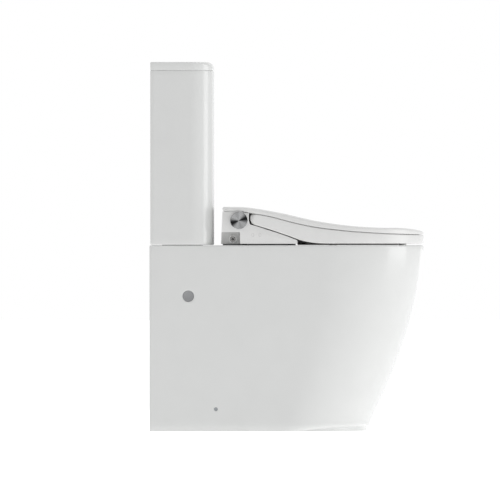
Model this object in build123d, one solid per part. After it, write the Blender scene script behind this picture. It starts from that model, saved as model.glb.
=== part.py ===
from build123d import *
import math
import os

# Close coupled toilet with a slim water-wash seat.
# Millimetres. +X is the toilet's left as seen from the front, +Y is the wall, +Z is up.
# The origin is on the floor, midway between the wall face and the nose, on the centre plane.

# ---- overall sizes ----
LENGTH = 629.0
HEIGHT = 845.0
RIM_Z = 426.0
BACK_Y = LENGTH / 2
NOSE_Y = -LENGTH / 2

# ---- pan ----
PAN_HALF = 182.5
SHOULDER_Y = -80.0
PAN_WALL = 10.0
DECK_THICK = 16.0
FOOT_Z = 22.0
FOOT_NOSE_Y = -182.5
BOWL_WALL = 9.0
TRAP_R = 38.0
OUTLET_R = 51.0
OUTLET_Z = 185.0
OUTLET_START_Y = 262.0
OUTLET_END_Y = 302.0
# The water way's corners from the sump over the weir to the outlet, and its bend radii.
TRAP_PATH = [(0, -28.0, 132.0), (0, 32.0, 112.0), (0, 120.0, 246.0)]
TRAP_PATH += [(0, 200.0, OUTLET_Z), (0, 285.0, OUTLET_Z)]
TRAP_BENDS = [50.0, 52.0, 75.0]
BRACKET_Y = 162.6
BRACKET_Z = 51.0
PLUG_Y = 225.8
PLUG_Z = 309.5
PLUG_R = 13.0

# ---- cistern ----
CISTERN_HALF = 190.0
CISTERN_FRONT_Y = 167.0
CISTERN_BACK_Y = 312.6
CISTERN_Z = 427.0
CISTERN_WALL = 9.0
CISTERN_FLOOR = 12.0
LID_SEAM_Z = 826.0
FRONT_CORNER_R = 40.0
FRONT_BULGE = 3.0
VALVE_Y = 240.0
FILL_X = 130.0
FILL_Y = 250.0
SHANK_R = 10.48
SHANK_END_Z = 385.0
SHANK_FREE = 28.0
BOLT_X = 75.0

# ---- flush buttons ----
BUTTON_R = 24.3
BUTTON_SPLIT_X = 4.0
BUTTON_GAP = 0.4
BUTTON_TOP_Z = 844.4
ROD_R = 3.0
FULL_ROD_X = -10.0
HALF_ROD_X = 14.0
SPRING_R = 5.2
SPRING_WIRE_R = 0.5

# ---- wash seat body ----
BODY_HALF = 178.0
BODY_WALL = 2.5
BODY_BACK_Y = 151.0
BODY_BASE_Z = 430.0
BODY_TOP_Z = 503.3
BODY_FRONT_Y = 88.0
HORN_TIP_Y = -24.0
HORN_INNER_X = 146.0
FRONT_WALL_Y = 48.0
POD_HALF = 32.0
POD_FRONT_Y = 5.0
KNOB_Y = 110.0
KNOB_Z = 482.3
KNOB_R = 20.0
KNOB_OUT_X = 188.0
INLET_Y = 124.0
INLET_Z = 440.0
INLET_R = 6.58
INLET_OUT_X = 174.0
INLET_FREE = 10.0
RECESS_FRONT_Y = 107.5
RECESS_TOP_Z = 456.0
RECESS_DEPTH_X = 160.0
SEAT_BOLT_X = 77.5
SEAT_BOLT_Y = 97.0
NOZZLE_X = 9.0
NOZZLE_R = 5.0
NOZZLE_TIP = (14.3, 430.8)
NOZZLE_ANGLE = 20.0
NOZZLE_LENGTH = 95.0

# ---- seat ring and lid ----
RING_HALF = 180.0
LID_HALF = 181.0
HOLE_HALF = 108.0
HOLE_FRONT_Y = -250.0
HOLE_BACK_Y = 18.0
HOLE_MID_Y = -110.0
RING_UNDER_Z = 429.7
HINGE_Y = 142.4
HINGE_Z = 508.9
BARREL_R = 5.1
PIN_R = 2.5
RUNNING_FIT = 0.05
LID_SKIN = 3.5
# The line along the side where lid and ring meet, from the back to the nose.
SEAM = [(110.0, 503.8), (84.6, 499.7), (39.0, 491.7), (-7.0, 479.6), (-53.0, 469.5)]
SEAM += [(-121.0, 460.4), (-213.0, 453.5), (-320.0, 450.0)]
SEAM_GAP = 0.6


# ================= helpers =================
def d_face(half, nose_y, shoulder_y, back_y, z=0.0):
    """D-shaped plan: straight sides from back_y to shoulder_y, then half an ellipse to the nose."""
    sides = Polyline((half, shoulder_y), (half, back_y), (-half, back_y), (-half, shoulder_y))
    nose = EllipticalCenterArc(
        (0, shoulder_y), half, shoulder_y - nose_y, start_angle=180, arc_size=180
    )
    return Pos(0, 0, z) * make_face([sides, nose])


def oval_face(half, front_y, mid_y, back_y, z=0.0):
    """Oval plan made of a front and a back half ellipse that meet at mid_y."""
    front = EllipticalCenterArc((0, mid_y), half, mid_y - front_y, start_angle=180, arc_size=180)
    back = EllipticalCenterArc((0, mid_y), half, back_y - mid_y, start_angle=0, arc_size=180)
    return Pos(0, 0, z) * make_face([front, back])


def across(face_yz, x_low, x_high):
    """Carry a face drawn as (y, z) along X from x_low to x_high."""
    plane = Plane(origin=(x_low, 0, 0), x_dir=(0, 1, 0), z_dir=(1, 0, 0))
    return extrude(plane * face_yz, amount=x_high - x_low)


def slab(x_low, x_high, y_low, y_high, z_low, z_high):
    """Axis-aligned block between two corners."""
    block = Box(x_high - x_low, y_high - y_low, z_high - z_low, align=(Align.MIN,) * 3)
    return Pos(x_low, y_low, z_low) * block


def post(x, y, z_low, z_high, radius):
    """Upright cylinder between two heights."""
    return Pos(x, y, z_low) * Cylinder(
        radius, z_high - z_low, align=(Align.CENTER, Align.CENTER, Align.MIN)
    )


def shaft(x_low, x_high, y, z, radius):
    """Cylinder along X between two places."""
    low = min(x_low, x_high)
    turned = Rot(0, 90, 0) * Cylinder(
        radius, abs(x_high - x_low), align=(Align.CENTER, Align.CENTER, Align.MIN)
    )
    return Pos(low, y, z) * turned


def ring_about(x, y, z_low, z_high, outer, inner):
    """Upright tube."""
    return post(x, y, z_low, z_high, outer) - post(x, y, z_low - 1, z_high + 1, inner)


def both_sides(solid):
    """The solid and its mirror image across the centre plane."""
    return [solid, mirror(solid, about=Plane.YZ)]


def hexagon_post(x, y, z_low, z_high, flats):
    """Upright hexagon bar, flats is the distance across flats."""
    face = RegularPolygon(radius=flats / 2, side_count=6, major_radius=False)
    return extrude(Pos(x, y, z_low) * face, amount=z_high - z_low)


def tube_along(points, bend_r, radius):
    """Round bar along straight runs joined by tangent arcs."""
    path = FilletPolyline(*points, radius=bend_r)
    start = Vector(*points[0])
    run = Vector(*points[1]) - start
    return sweep(Plane(origin=start, z_dir=run) * Circle(radius), path=path)


def save(name, solids):
    """Write one named part, a single solid or a group of separate ones."""
    if isinstance(solids, (list, tuple)):
        pieces = [s for group in solids for s in group.solids()]
        shape = Compound(children=pieces)
    else:
        pieces = solids.solids()
        shape = pieces[0] if len(pieces) == 1 else Compound(children=list(pieces))
    export_step(shape, f"parts/{name}.step")


# ================= pan =================
def pan_section(z, inset):
    """Plan of the pan at a height, drawn in by inset. The nose leans in towards the floor."""
    rise = z / RIM_Z
    nose = FOOT_NOSE_Y + (NOSE_Y - FOOT_NOSE_Y) * (1 - (1 - rise) ** 1.62)
    reach = 190.0 + 44.5 * rise
    back = BACK_Y if inset == 0 else BACK_Y + 20
    return d_face(PAN_HALF - inset, nose + inset, nose + reach, back, z)


def pan_shell():
    """Outside of the pan less its big hollow, which is open to the floor and the wall."""
    heights = [FOOT_Z, 90.0, 170.0, 255.0, 340.0, RIM_Z]
    skirt = loft([pan_section(z, 0) for z in heights])
    rounding = [(0.0, 4.0, -110.0), (3.4, 2.2, -152.0), (7.0, 1.2, -171.0), (12.6, 0.4, -183.0)]
    foot = [d_face(PAN_HALF - tuck, nose, 5.0, BACK_Y, z) for z, tuck, nose in rounding]
    outside = skirt + loft([*foot, pan_section(FOOT_Z, 0)], ruled=True)
    deck_under = RIM_Z - DECK_THICK
    inner_heights = [FOOT_Z, 120.0, 220.0, 320.0, deck_under]
    hollow = loft([pan_section(z, PAN_WALL) for z in inner_heights])
    low_hollow = extrude(pan_section(FOOT_Z, PAN_WALL), amount=-FOOT_Z - 5)
    return outside - hollow - low_hollow


def bowl_loft(grow):
    """Inside of the bowl, or its outside when grow is the wall. Ellipses shrink towards the sump."""
    table = [
        (RIM_Z, -126.0, 138.0, 150.0),
        (385.0, -125.0, 136.0, 147.0),
        (330.0, -114.0, 122.0, 130.0),
        (270.0, -92.0, 98.0, 106.0),
        (215.0, -62.0, 72.0, 78.0),
        (160.0, -38.0, 52.0, 52.0),
        (110.0, -26.0, 42.0, 40.0),
    ]
    faces = []
    for z, centre, half_x, half_y in table:
        low, high = centre - half_y - grow, centre + half_y + grow
        faces.append(oval_face(half_x + grow, low, centre, high, z))
    floor_z = 84.0 - grow
    faces.append(oval_face(28.0 + grow, -50.0 - grow, -22.0, 6.0 + grow, floor_z))
    return loft(faces)


def trap_bar(radius):
    """The bent water way from the sump over the weir to the outlet."""
    return tube_along(TRAP_PATH, TRAP_BENDS, radius)


def outlet_bar(radius, y_high):
    """Straight outlet spigot towards the wall."""
    turned = Rot(-90, 0, 0) * Cylinder(
        radius, y_high - OUTLET_START_Y, align=(Align.CENTER, Align.CENTER, Align.MIN)
    )
    return Pos(0, OUTLET_START_Y, OUTLET_Z) * turned


def make_pan():
    """Vitreous china pan with bowl, trap, flush channel and fixing holes."""
    under = RIM_Z - DECK_THICK
    body = pan_shell()
    body += bowl_loft(BOWL_WALL)
    body += trap_bar(TRAP_R + BOWL_WALL)
    body += outlet_bar(OUTLET_R, OUTLET_END_Y)
    body += post(0, VALVE_Y, 370.0, under, 58.0)
    body += slab(-43.0, 43.0, 0.0, VALVE_Y, 370.0, under)
    body += slab(-PAN_HALF + 5, PAN_HALF - 5, BACK_Y - 10, BACK_Y, 340.0, under)
    body -= bowl_loft(0)
    body -= trap_bar(TRAP_R)
    body -= outlet_bar(TRAP_R + 4, OUTLET_END_Y + 1)
    # flush channel: recess for the coupling seal, then a duct forward into the bowl
    body -= post(0, VALVE_Y, 396.0, RIM_Z + 1, 47.0)
    body -= post(0, VALVE_Y, 379.0, 397.0, 36.0)
    body -= slab(-35.0, 35.0, -20.0, VALVE_Y, 379.0, 402.0)
    for side in (-1, 1):
        body -= post(side * BOLT_X, VALVE_Y, under - 1, RIM_Z + 1, 6.0)
        body -= post(side * SEAT_BOLT_X, SEAT_BOLT_Y, under - 1, RIM_Z + 1, 7.5)
        body -= shaft(side * 165, side * 190, PLUG_Y, PLUG_Z, PLUG_R)
        body -= shaft(side * 175.5, side * 190, BRACKET_Y, BRACKET_Z, 4.5)
        body -= shaft(side * 165, side * 178, BRACKET_Y, BRACKET_Z, 3.2)
    body -= post(FILL_X, FILL_Y, under - 1, RIM_Z + 1, 20.0)
    return body


def make_access_plug():
    """Soft plug in the side hole that gives access to the water hose."""
    stem = shaft(171.0, 180.3, PLUG_Y, PLUG_Z, PLUG_R - 0.05)
    flange = shaft(169.5, 172.5, PLUG_Y, PLUG_Z, 16.0)
    grip = shaft(179.3, 181.0, PLUG_Y, PLUG_Z, 9.0) - shaft(179, 182, PLUG_Y, PLUG_Z, 7.5)
    return stem + flange + grip


def make_floor_bracket():
    """Bent steel angle: foot on the floor, upright against the inside of the pan wall."""
    inner = PAN_HALF - PAN_WALL
    upright = slab(inner - 4, inner, BRACKET_Y - 20, BRACKET_Y + 20, 0.0, 68.0)
    foot = slab(inner - 42, inner, BRACKET_Y - 20, BRACKET_Y + 20, 0.0, 4.0)
    angle = upright + foot
    angle -= shaft(inner - 6, inner + 2, BRACKET_Y, BRACKET_Z, 3.1)
    angle -= post(inner - 24, BRACKET_Y, -1, 5, 4.0)
    return angle


def make_side_screw():
    """Screw that holds the pan wall to the floor bracket, its head sunk in the china."""
    inner = PAN_HALF - PAN_WALL
    head = shaft(175.5, 179.0, BRACKET_Y, BRACKET_Z, 4.2)
    head -= shaft(177.3, 180, BRACKET_Y, BRACKET_Z, 2.0)
    shank = shaft(inner - 12, 175.6, BRACKET_Y, BRACKET_Z, 3.0)
    nut = shaft(inner - 9, inner - 4, BRACKET_Y, BRACKET_Z, 6.0)
    return head + shank + nut


def make_floor_screw():
    """Short screw head and washer seated on the bracket's foot."""
    x = PAN_HALF - PAN_WALL - 24
    return post(x, BRACKET_Y, 4.0, 5.5, 8.0) + hexagon_post(x, BRACKET_Y, 5.5, 11.0, 13.0)


# ================= cistern =================
def cistern_face(inset, z):
    """Plan of the cistern: flat back, round front corners and a slightly bowed front."""
    half = CISTERN_HALF - inset
    front = CISTERN_FRONT_Y + inset
    back = CISTERN_BACK_Y - inset
    bow = ThreePointArc((-half, front + FRONT_BULGE), (0, front), (half, front + FRONT_BULGE))
    rest = Polyline(
        (half, front + FRONT_BULGE), (half, back), (-half, back), (-half, front + FRONT_BULGE)
    )
    face = make_face([bow, rest])
    corners = face.vertices().sort_by(Axis.Y)
    face = fillet(corners[:2], FRONT_CORNER_R - inset)
    face = fillet(face.vertices().sort_by(Axis.Y)[-2:], max(8.0 - inset, 2.0))
    return Pos(0, 0, z) * face


def make_cistern():
    """Open-topped china cistern."""
    shell = extrude(cistern_face(0, CISTERN_Z), amount=LID_SEAM_Z - CISTERN_Z)
    shell = fillet(shell.faces().sort_by(Axis.Z)[-1].edges(), 2.0)
    shell = fillet(shell.faces().sort_by(Axis.Z)[0].edges(), 2.0)
    floor = CISTERN_Z + CISTERN_FLOOR
    shell -= extrude(cistern_face(CISTERN_WALL, floor), amount=LID_SEAM_Z - floor + 1)
    shell -= post(0, VALVE_Y, CISTERN_Z - 1, floor + 1, 31.0)
    shell -= post(FILL_X, FILL_Y, CISTERN_Z - 1, floor + 1, 11.5)
    for side in (-1, 1):
        shell -= post(side * BOLT_X, VALVE_Y, CISTERN_Z - 1, floor + 1, 5.5)
    return shell


def make_cistern_lid():
    """China lid with a rounded top edge, a locating lip and a stepped button hole."""
    lid = extrude(cistern_face(0, LID_SEAM_Z), amount=HEIGHT - LID_SEAM_Z)
    lid = fillet(lid.faces().sort_by(Axis.Z)[-1].edges(), 7.0)
    lid = fillet(lid.faces().sort_by(Axis.Z)[0].edges(), 1.5)
    roof = HEIGHT - 9.0
    lid -= extrude(cistern_face(16.0, LID_SEAM_Z - 1), amount=roof - LID_SEAM_Z + 1)
    lip = extrude(cistern_face(11.0, LID_SEAM_Z - 8), amount=roof - LID_SEAM_Z + 8)
    lip -= extrude(cistern_face(17.0, LID_SEAM_Z - 9), amount=roof - LID_SEAM_Z + 9)
    lid += lip
    lid -= post(0, VALVE_Y, LID_SEAM_Z, HEIGHT + 1, 26.0)
    lid -= post(0, VALVE_Y, HEIGHT - 2.0, HEIGHT + 1, 31.4)
    return lid


def make_cistern_pads():
    """Thin rubber pads between cistern and pan, round each coupling bolt."""
    return [ring_about(s * BOLT_X, VALVE_Y, RIM_Z, CISTERN_Z, 14.0, 6.0) for s in (-1, 1)]


def make_cistern_bolts():
    """Coupling bolts: flat head inside the cistern, thread down through the deck."""
    floor = CISTERN_Z + CISTERN_FLOOR
    bolts = []
    for side in (-1, 1):
        x = side * BOLT_X
        bolt = post(x, VALVE_Y, floor + 3, floor + 7, 10.0)
        bolt += post(x, VALVE_Y, 388.0, floor + 4, 4.0)
        bolt -= slab(x - 11, x + 11, VALVE_Y - 0.8, VALVE_Y + 0.8, floor + 5.5, floor + 8)
        bolts.append(bolt)
    return bolts


def make_bolt_seals():
    """Rubber washers under the coupling bolt heads."""
    floor = CISTERN_Z + CISTERN_FLOOR
    return [ring_about(s * BOLT_X, VALVE_Y, floor, floor + 3, 13.0, 4.05) for s in (-1, 1)]


def make_wing_nuts():
    """Wing nuts and washers under the deck."""
    under = RIM_Z - DECK_THICK
    nuts = []
    for side in (-1, 1):
        x = side * BOLT_X
        nut = post(x, VALVE_Y, under - 3, under, 12.0)
        nut += post(x, VALVE_Y, under - 13, under - 3, 8.0)
        nut += slab(x - 2.0, x + 2.0, VALVE_Y - 17, VALVE_Y + 17, under - 15, under - 6)
        nut -= post(x, VALVE_Y, under - 20, under + 1, 4.05)
        nuts.append(nut)
    return nuts


def make_coupling_seal():
    """Thick foam rubber seal between the flush valve nut and the pan's recess."""
    seal = ring_about(0, VALVE_Y, 396.0, 411.0, 46.8, 34.0)
    return seal + ring_about(0, VALVE_Y, 410.5, CISTERN_Z - 0.1, 46.8, 41.0)


# ================= flush valve =================
def make_flush_valve_body():
    """Threaded tail, base flange, open cage and head with two guide holes for the push rods."""
    floor = CISTERN_Z + CISTERN_FLOOR
    body = post(0, VALVE_Y, 402.0, floor + 2, 29.9)
    body += post(0, VALVE_Y, floor + 2, floor + 6, 44.0)
    for step in range(4):
        turn = math.radians(45 + 90 * step)
        x = 37.0 * math.cos(turn)
        y = VALVE_Y + 37.0 * math.sin(turn)
        body += post(x, y, floor + 5, 702.0, 4.0)
    body += post(0, VALVE_Y, 620.0, 626.0, 41.5) - post(0, VALVE_Y, 619, 627, 20.0)
    body += post(0, VALVE_Y, 700.0, 760.0, 41.5)
    body -= post(0, VALVE_Y, 401, floor + 7, 26.0)
    body -= post(0, VALVE_Y, 699, 745.0, 18.0)
    for x in (FULL_ROD_X, HALF_ROD_X):
        body -= post(x, VALVE_Y, 730.0, 761.0, ROD_R + 0.5)
    for step in range(2):
        body -= Pos(0, VALVE_Y, 722) * Rot(0, 0, 90 * step) * Box(90, 26, 24)
    return body


def make_flush_core():
    """Overflow pipe that lifts off the seat to let the water go."""
    floor = CISTERN_Z + CISTERN_FLOOR
    core = post(0, VALVE_Y, floor + 9.2, 664.0, 15.0)
    core += post(0, VALVE_Y, floor + 9.2, floor + 16, 30.0)
    core += post(0, VALVE_Y, floor + 6.2, floor + 9.3, 24.0)
    core -= post(0, VALVE_Y, floor, 665.0, 12.5)
    return core


def make_flush_seal():
    """Flat rubber ring under the core, resting on the valve seat."""
    floor = CISTERN_Z + CISTERN_FLOOR
    return ring_about(0, VALVE_Y, floor + 6.0, floor + 9.0, 31.0, 24.1)


def make_valve_nut():
    """Lock nut on the flush valve tail, under the cistern."""
    return ring_about(0, VALVE_Y, 415.0, CISTERN_Z, 40.0, 29.95)


def make_valve_floor_seal():
    """Rubber ring between the valve flange and the cistern floor."""
    floor = CISTERN_Z + CISTERN_FLOOR
    return ring_about(0, VALVE_Y, floor, floor + 2, 43.0, 29.95)


# ================= fill valve =================
def make_fill_valve_body():
    """Threaded shank with a relieved neck, flange, riser pipe and the valve head at the top."""
    floor = CISTERN_Z + CISTERN_FLOOR
    neck_z = SHANK_END_Z + SHANK_FREE
    body = post(FILL_X, FILL_Y, SHANK_END_Z, neck_z, SHANK_R)
    body += post(FILL_X, FILL_Y, neck_z, floor + 3, SHANK_R - 0.2)
    body += post(FILL_X, FILL_Y, floor + 3, floor + 7, 18.0)
    body += post(FILL_X, FILL_Y, floor + 6, 701.0, 9.0)
    body += post(FILL_X, FILL_Y, 700.0, 730.0, 15.0)
    body += slab(FILL_X + 6, FILL_X + 13, FILL_Y - 6, FILL_Y - 3.2, 729.0, 742.0)
    body += slab(FILL_X + 6, FILL_X + 13, FILL_Y + 3.2, FILL_Y + 6, 729.0, 742.0)
    body -= post(FILL_X, FILL_Y, SHANK_END_Z - 1, 690.0, 6.0)
    body -= shaft_y(FILL_X + 9.5, FILL_Y - 8, FILL_Y + 8, 738.0, 1.5)
    return body


def shaft_y(x, y_low, y_high, z, radius):
    """Cylinder along Y between two places."""
    turned = Rot(-90, 0, 0) * Cylinder(
        radius, y_high - y_low, align=(Align.CENTER, Align.CENTER, Align.MIN)
    )
    return Pos(x, y_low, z) * turned


def make_fill_seal():
    """Cone rubber washer on the fill valve shank, inside the cistern."""
    floor = CISTERN_Z + CISTERN_FLOOR
    return ring_about(FILL_X, FILL_Y, floor, floor + 3, 17.0, 10.52)


def make_fill_nut():
    """Back nut on the fill valve shank, under the cistern."""
    nut = hexagon_post(FILL_X, FILL_Y, 415.0, CISTERN_Z, 30.0)
    return nut - post(FILL_X, FILL_Y, 414, CISTERN_Z + 1, 10.52)


def make_float_cup():
    """Float that slides on the riser pipe, with the thin link that pushes the lever."""
    cup = ring_about(FILL_X, FILL_Y, 600.0, 664.0, 28.0, 9.4)
    cup -= ring_about(FILL_X, FILL_Y, 597.0, 660.0, 26.0, 11.5)
    cup += post(FILL_X - 21, FILL_Y, 662.0, 734.0, 1.6)
    return cup


def make_float_lever():
    """Lever on the valve head that the float link lifts to shut the water."""
    x = FILL_X
    lever = slab(x - 26, x + 13, FILL_Y - 2.9, FILL_Y + 2.9, 735.0, 740.5)
    lever -= shaft_y(x + 9.5, FILL_Y - 5, FILL_Y + 5, 738.0, 1.55)
    return lever


def make_lever_pin():
    """Small pin of the float lever."""
    return shaft_y(FILL_X + 9.5, FILL_Y - 6.5, FILL_Y + 6.5, 738.0, 1.5)


# ================= flush buttons =================
def make_button_bezel():
    """Ring in the lid with a threaded sleeve and a guide plate for the rods."""
    bezel = ring_about(0, VALVE_Y, HEIGHT - 2.0, HEIGHT - 0.1, 31.0, 24.8)
    bezel = fillet(bezel.edges().filter_by(GeomType.CIRCLE).group_by(Axis.Z)[-1], 0.8)
    bezel += ring_about(0, VALVE_Y, 812.0, HEIGHT - 1.5, 25.6, 24.8)
    bezel += post(0, VALVE_Y, 812.0, 815.0, 25.2)
    for x in (FULL_ROD_X, HALF_ROD_X):
        bezel -= post(x, VALVE_Y, 811.0, 816.0, ROD_R + 0.4)
    return bezel


def make_button_nut():
    """Lock nut that holds the button ring under the lid."""
    return ring_about(0, VALVE_Y, 829.0, 836.0, 34.0, 25.65)


def make_button(full):
    """One part of the split round button: a cap with a short skirt."""
    cap = post(0, VALVE_Y, BUTTON_TOP_Z - 4, BUTTON_TOP_Z, BUTTON_R)
    cap = fillet(cap.edges().group_by(Axis.Z)[-1], 0.9)
    cap += ring_about(0, VALVE_Y, BUTTON_TOP_Z - 12, BUTTON_TOP_Z - 3, BUTTON_R, BUTTON_R - 1.6)
    cut = BUTTON_SPLIT_X - BUTTON_GAP if full else BUTTON_SPLIT_X + BUTTON_GAP
    if full:
        return cap - slab(cut, 40, VALVE_Y - 40, VALVE_Y + 40, 800, 850)
    return cap - slab(-40, cut, VALVE_Y - 40, VALVE_Y + 40, 800, 850)


def make_rod(x):
    """Push rod from a button down into the flush valve head."""
    return post(x, VALVE_Y, 742.0, BUTTON_TOP_Z - 4, ROD_R)


def make_spring(x):
    """Return spring of a button, a coil of six turns round its rod."""
    low, high = 815.6, BUTTON_TOP_Z - 4.6
    coil = Helix(pitch=(high - low) / 6, height=high - low, radius=SPRING_R)
    start = Plane(origin=coil @ 0, z_dir=coil % 0)
    wire = sweep(start * Circle(SPRING_WIRE_R), path=coil, is_frenet=True)
    return Pos(x, VALVE_Y, low) * wire


# ================= wash seat body =================
def body_profile(inset):
    """Side outline of the body: upright back, flat top, round notch for the ring, long toe."""
    i = inset
    top = BODY_TOP_Z - i
    base = BODY_BASE_Z if i == 0 else BODY_BASE_Z - 5
    back = Polyline(
        (HORN_TIP_Y + i, base),
        (BODY_BACK_Y - i, base),
        (147.5 - i, top),
        (112.0, top),
        (BODY_FRONT_Y + i, top - 4.2),
        (BODY_FRONT_Y + i, 483.0 - i),
    )
    notch = ThreePointArc(
        (BODY_FRONT_Y + i, 483.0 - i), (85.0 + i * 0.7, 475.0 - i), (76.0, 470.4 - i)
    )
    toe = Spline(
        (76.0, 470.4 - i), (39.0, 459.6 - i), (0.0, 446.6 - i), (HORN_TIP_Y + 3 + i, 438.4 - i)
    )
    tip = ThreePointArc(
        (HORN_TIP_Y + 3 + i, 438.4 - i),
        (HORN_TIP_Y + 0.9 + i, 437.2 - i),
        (HORN_TIP_Y + i, 434.8 - i),
    )
    end = Line((HORN_TIP_Y + i, 434.8 - i), (HORN_TIP_Y + i, base))
    return make_face([back, notch, toe, tip, end])


def body_block(inset):
    """Solid of the body, or of its hollow when inset is the wall thickness."""
    i = inset
    block = across(body_profile(i), -BODY_HALF + i, BODY_HALF - i)
    for side in (-1, 1):
        low, high = sorted((side * (POD_HALF - i), side * (HORN_INNER_X + i)))
        block -= slab(low, high, -60.0, FRONT_WALL_Y + i, 400.0, 520.0)
    block -= slab(-POD_HALF, POD_HALF, -60.0, POD_FRONT_Y + i, 400.0, 520.0)
    low, high = -BODY_HALF - 5, -RECESS_DEPTH_X + i
    block -= slab(low, high, RECESS_FRONT_Y - i, 160.0, 400.0, RECESS_TOP_Z + i)
    return block


def nozzle_plane(x):
    """Local frame of a nozzle: its Z runs from the tip up and back along the nozzle."""
    slope = math.radians(NOZZLE_ANGLE)
    along = (0, math.cos(slope), math.sin(slope))
    return Plane(origin=(x, NOZZLE_TIP[0], NOZZLE_TIP[1]), x_dir=(1, 0, 0), z_dir=along)


def nozzle_bar(x, start, end, radius):
    """Cylinder on a nozzle's centre line between two distances from its tip."""
    bar = Cylinder(radius, end - start, align=(Align.CENTER, Align.CENTER, Align.MIN))
    return nozzle_plane(x) * Pos(0, 0, start) * bar


def make_body_cover():
    """Moulded outer shell of the wash seat body, open underneath."""
    cover = body_block(0) - body_block(BODY_WALL)
    for x in (-NOZZLE_X, NOZZLE_X):
        cover -= nozzle_bar(x, -80.0, 40.0, NOZZLE_R + 0.7)
    cover -= shaft(-BODY_HALF - 5, -BODY_HALF + 10, KNOB_Y, KNOB_Z, 5.3)
    cover -= shaft(-170.0, -150.0, INLET_Y, INLET_Z, 6.2)
    return cover


def make_body_base():
    """Floor plate of the body with openings over the fixing bolts."""
    i = BODY_WALL + 0.2
    plate = slab(-BODY_HALF + i, BODY_HALF - i, HORN_TIP_Y + 9, BODY_BACK_Y - 3.2, 430.0, 432.5)
    inner = HORN_INNER_X + i
    plate -= slab(-inner, inner, -60.0, FRONT_WALL_Y + i, 420.0, 440.0)
    plate -= slab(-200.0, -RECESS_DEPTH_X + i, RECESS_FRONT_Y - i, 160.0, 420.0, 440.0)
    for side in (-1, 1):
        plate -= post(side * SEAT_BOLT_X, SEAT_BOLT_Y, 420.0, 440.0, 12.0)
        plate += post(side * 120.0, 70.0, 432.0, 446.0, 5.0)
        plate += post(side * 120.0, 130.0, 432.0, 446.0, 5.0)
        plate -= post(side * 120.0, 70.0, 420.0, 450.0, 1.7)
        plate -= post(side * 120.0, 130.0, 420.0, 450.0, 1.7)
    return plate


def make_base_screws():
    """Self-tapping screws that come up through the floor plate."""
    screws = []
    for side in (-1, 1):
        for y in (70.0, 130.0):
            head = post(side * 120.0, y, 428.4, 430.0, 3.2)
            screws.append(head + post(side * 120.0, y, 429.5, 441.0, 1.65))
    return screws


def make_body_feet():
    """Rubber feet between the body and the pan deck."""
    feet = []
    for side in (-1, 1):
        for y in (97.0, -8.0):
            feet.append(post(side * 166.0, y, RIM_Z + 0.05, BODY_BASE_Z, 6.0))
    return feet


def make_fixing_plate():
    """Steel slide-on plate under the body."""
    plate = slab(-104.0, 104.0, 62.0, 132.0, RIM_Z, RIM_Z + 2.0)
    plate += slab(-104.0, -96.0, 62.0, 132.0, RIM_Z + 1.9, BODY_BASE_Z)
    plate += slab(96.0, 104.0, 62.0, 132.0, RIM_Z + 1.9, BODY_BASE_Z)
    for side in (-1, 1):
        plate -= post(side * SEAT_BOLT_X, SEAT_BOLT_Y, RIM_Z - 1, RIM_Z + 5, 4.0)
    return plate


def make_seat_bolts():
    """Bolts that clamp the fixing plate through the deck."""
    bolts = []
    for side in (-1, 1):
        x = side * SEAT_BOLT_X
        bolt = post(x, SEAT_BOLT_Y, RIM_Z + 2.0, RIM_Z + 5.5, 8.0)
        bolt -= slab(x - 6, x + 6, SEAT_BOLT_Y - 0.8, SEAT_BOLT_Y + 0.8, RIM_Z + 4.0, RIM_Z + 7)
        bolt += post(x, SEAT_BOLT_Y, 376.0, RIM_Z + 2.5, 3.0)
        bolts.append(bolt)
    return bolts


def make_seat_bolt_nuts():
    """Expanding rubber sleeves and nuts of the seat bolts, in and under the deck holes."""
    under = RIM_Z - DECK_THICK
    nuts = []
    for side in (-1, 1):
        x = side * SEAT_BOLT_X
        nut = post(x, SEAT_BOLT_Y, under - 20, under, 10.0)
        nut += post(x, SEAT_BOLT_Y, under - 1, RIM_Z - 1, 7.3)
        nut -= post(x, SEAT_BOLT_Y, under - 21, RIM_Z, 3.05)
        nuts.append(nut)
    return nuts


def make_selector_valve():
    """Water selector behind the knob."""
    valve = shaft(-172.0, -140.0, KNOB_Y, KNOB_Z, 14.0)
    valve += shaft(-175.4, -172.0, KNOB_Y, KNOB_Z, 8.0)
    valve -= shaft(-176.0, -160.0, KNOB_Y, KNOB_Z, 4.05)
    return valve


def make_knob_spindle():
    """Spindle that turns the selector."""
    return shaft(-184.0, -160.5, KNOB_Y, KNOB_Z, 4.0)


def make_control_knob():
    """Knob with a finely ribbed rim, hollow behind."""
    knob = shaft(-KNOB_OUT_X + 1.2, -178.6, KNOB_Y, KNOB_Z, KNOB_R)
    knob -= shaft(-181.0, -178.0, KNOB_Y, KNOB_Z, KNOB_R - 2.0)
    knob += shaft(-182.0, -178.6, KNOB_Y, KNOB_Z, 7.0)
    knob -= shaft(-184.0, -178.0, KNOB_Y, KNOB_Z, 4.0)
    ribs = 48
    for step in range(ribs):
        turn = 2 * math.pi * step / ribs
        y = KNOB_Y + (KNOB_R + 0.2) * math.cos(turn)
        z = KNOB_Z + (KNOB_R + 0.2) * math.sin(turn)
        knob -= shaft(-185.0, -178.0, y, z, 0.6)
    return knob


def make_knob_cap():
    """Spun metal disc on the face of the knob."""
    cap = shaft(-KNOB_OUT_X, -KNOB_OUT_X + 1.2, KNOB_Y, KNOB_Z, KNOB_R - 0.3)
    return fillet(cap.edges().group_by(Axis.X)[0], 0.4)


def make_inlet_collar():
    """White collar round the water inlet, in the side recess."""
    face = -INLET_OUT_X + INLET_FREE + 0.4
    collar = shaft(face, -RECESS_DEPTH_X, INLET_Y, INLET_Z, 9.3)
    return collar - shaft(face - 1, -RECESS_DEPTH_X + 1, INLET_Y, INLET_Z, 6.05)


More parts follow.
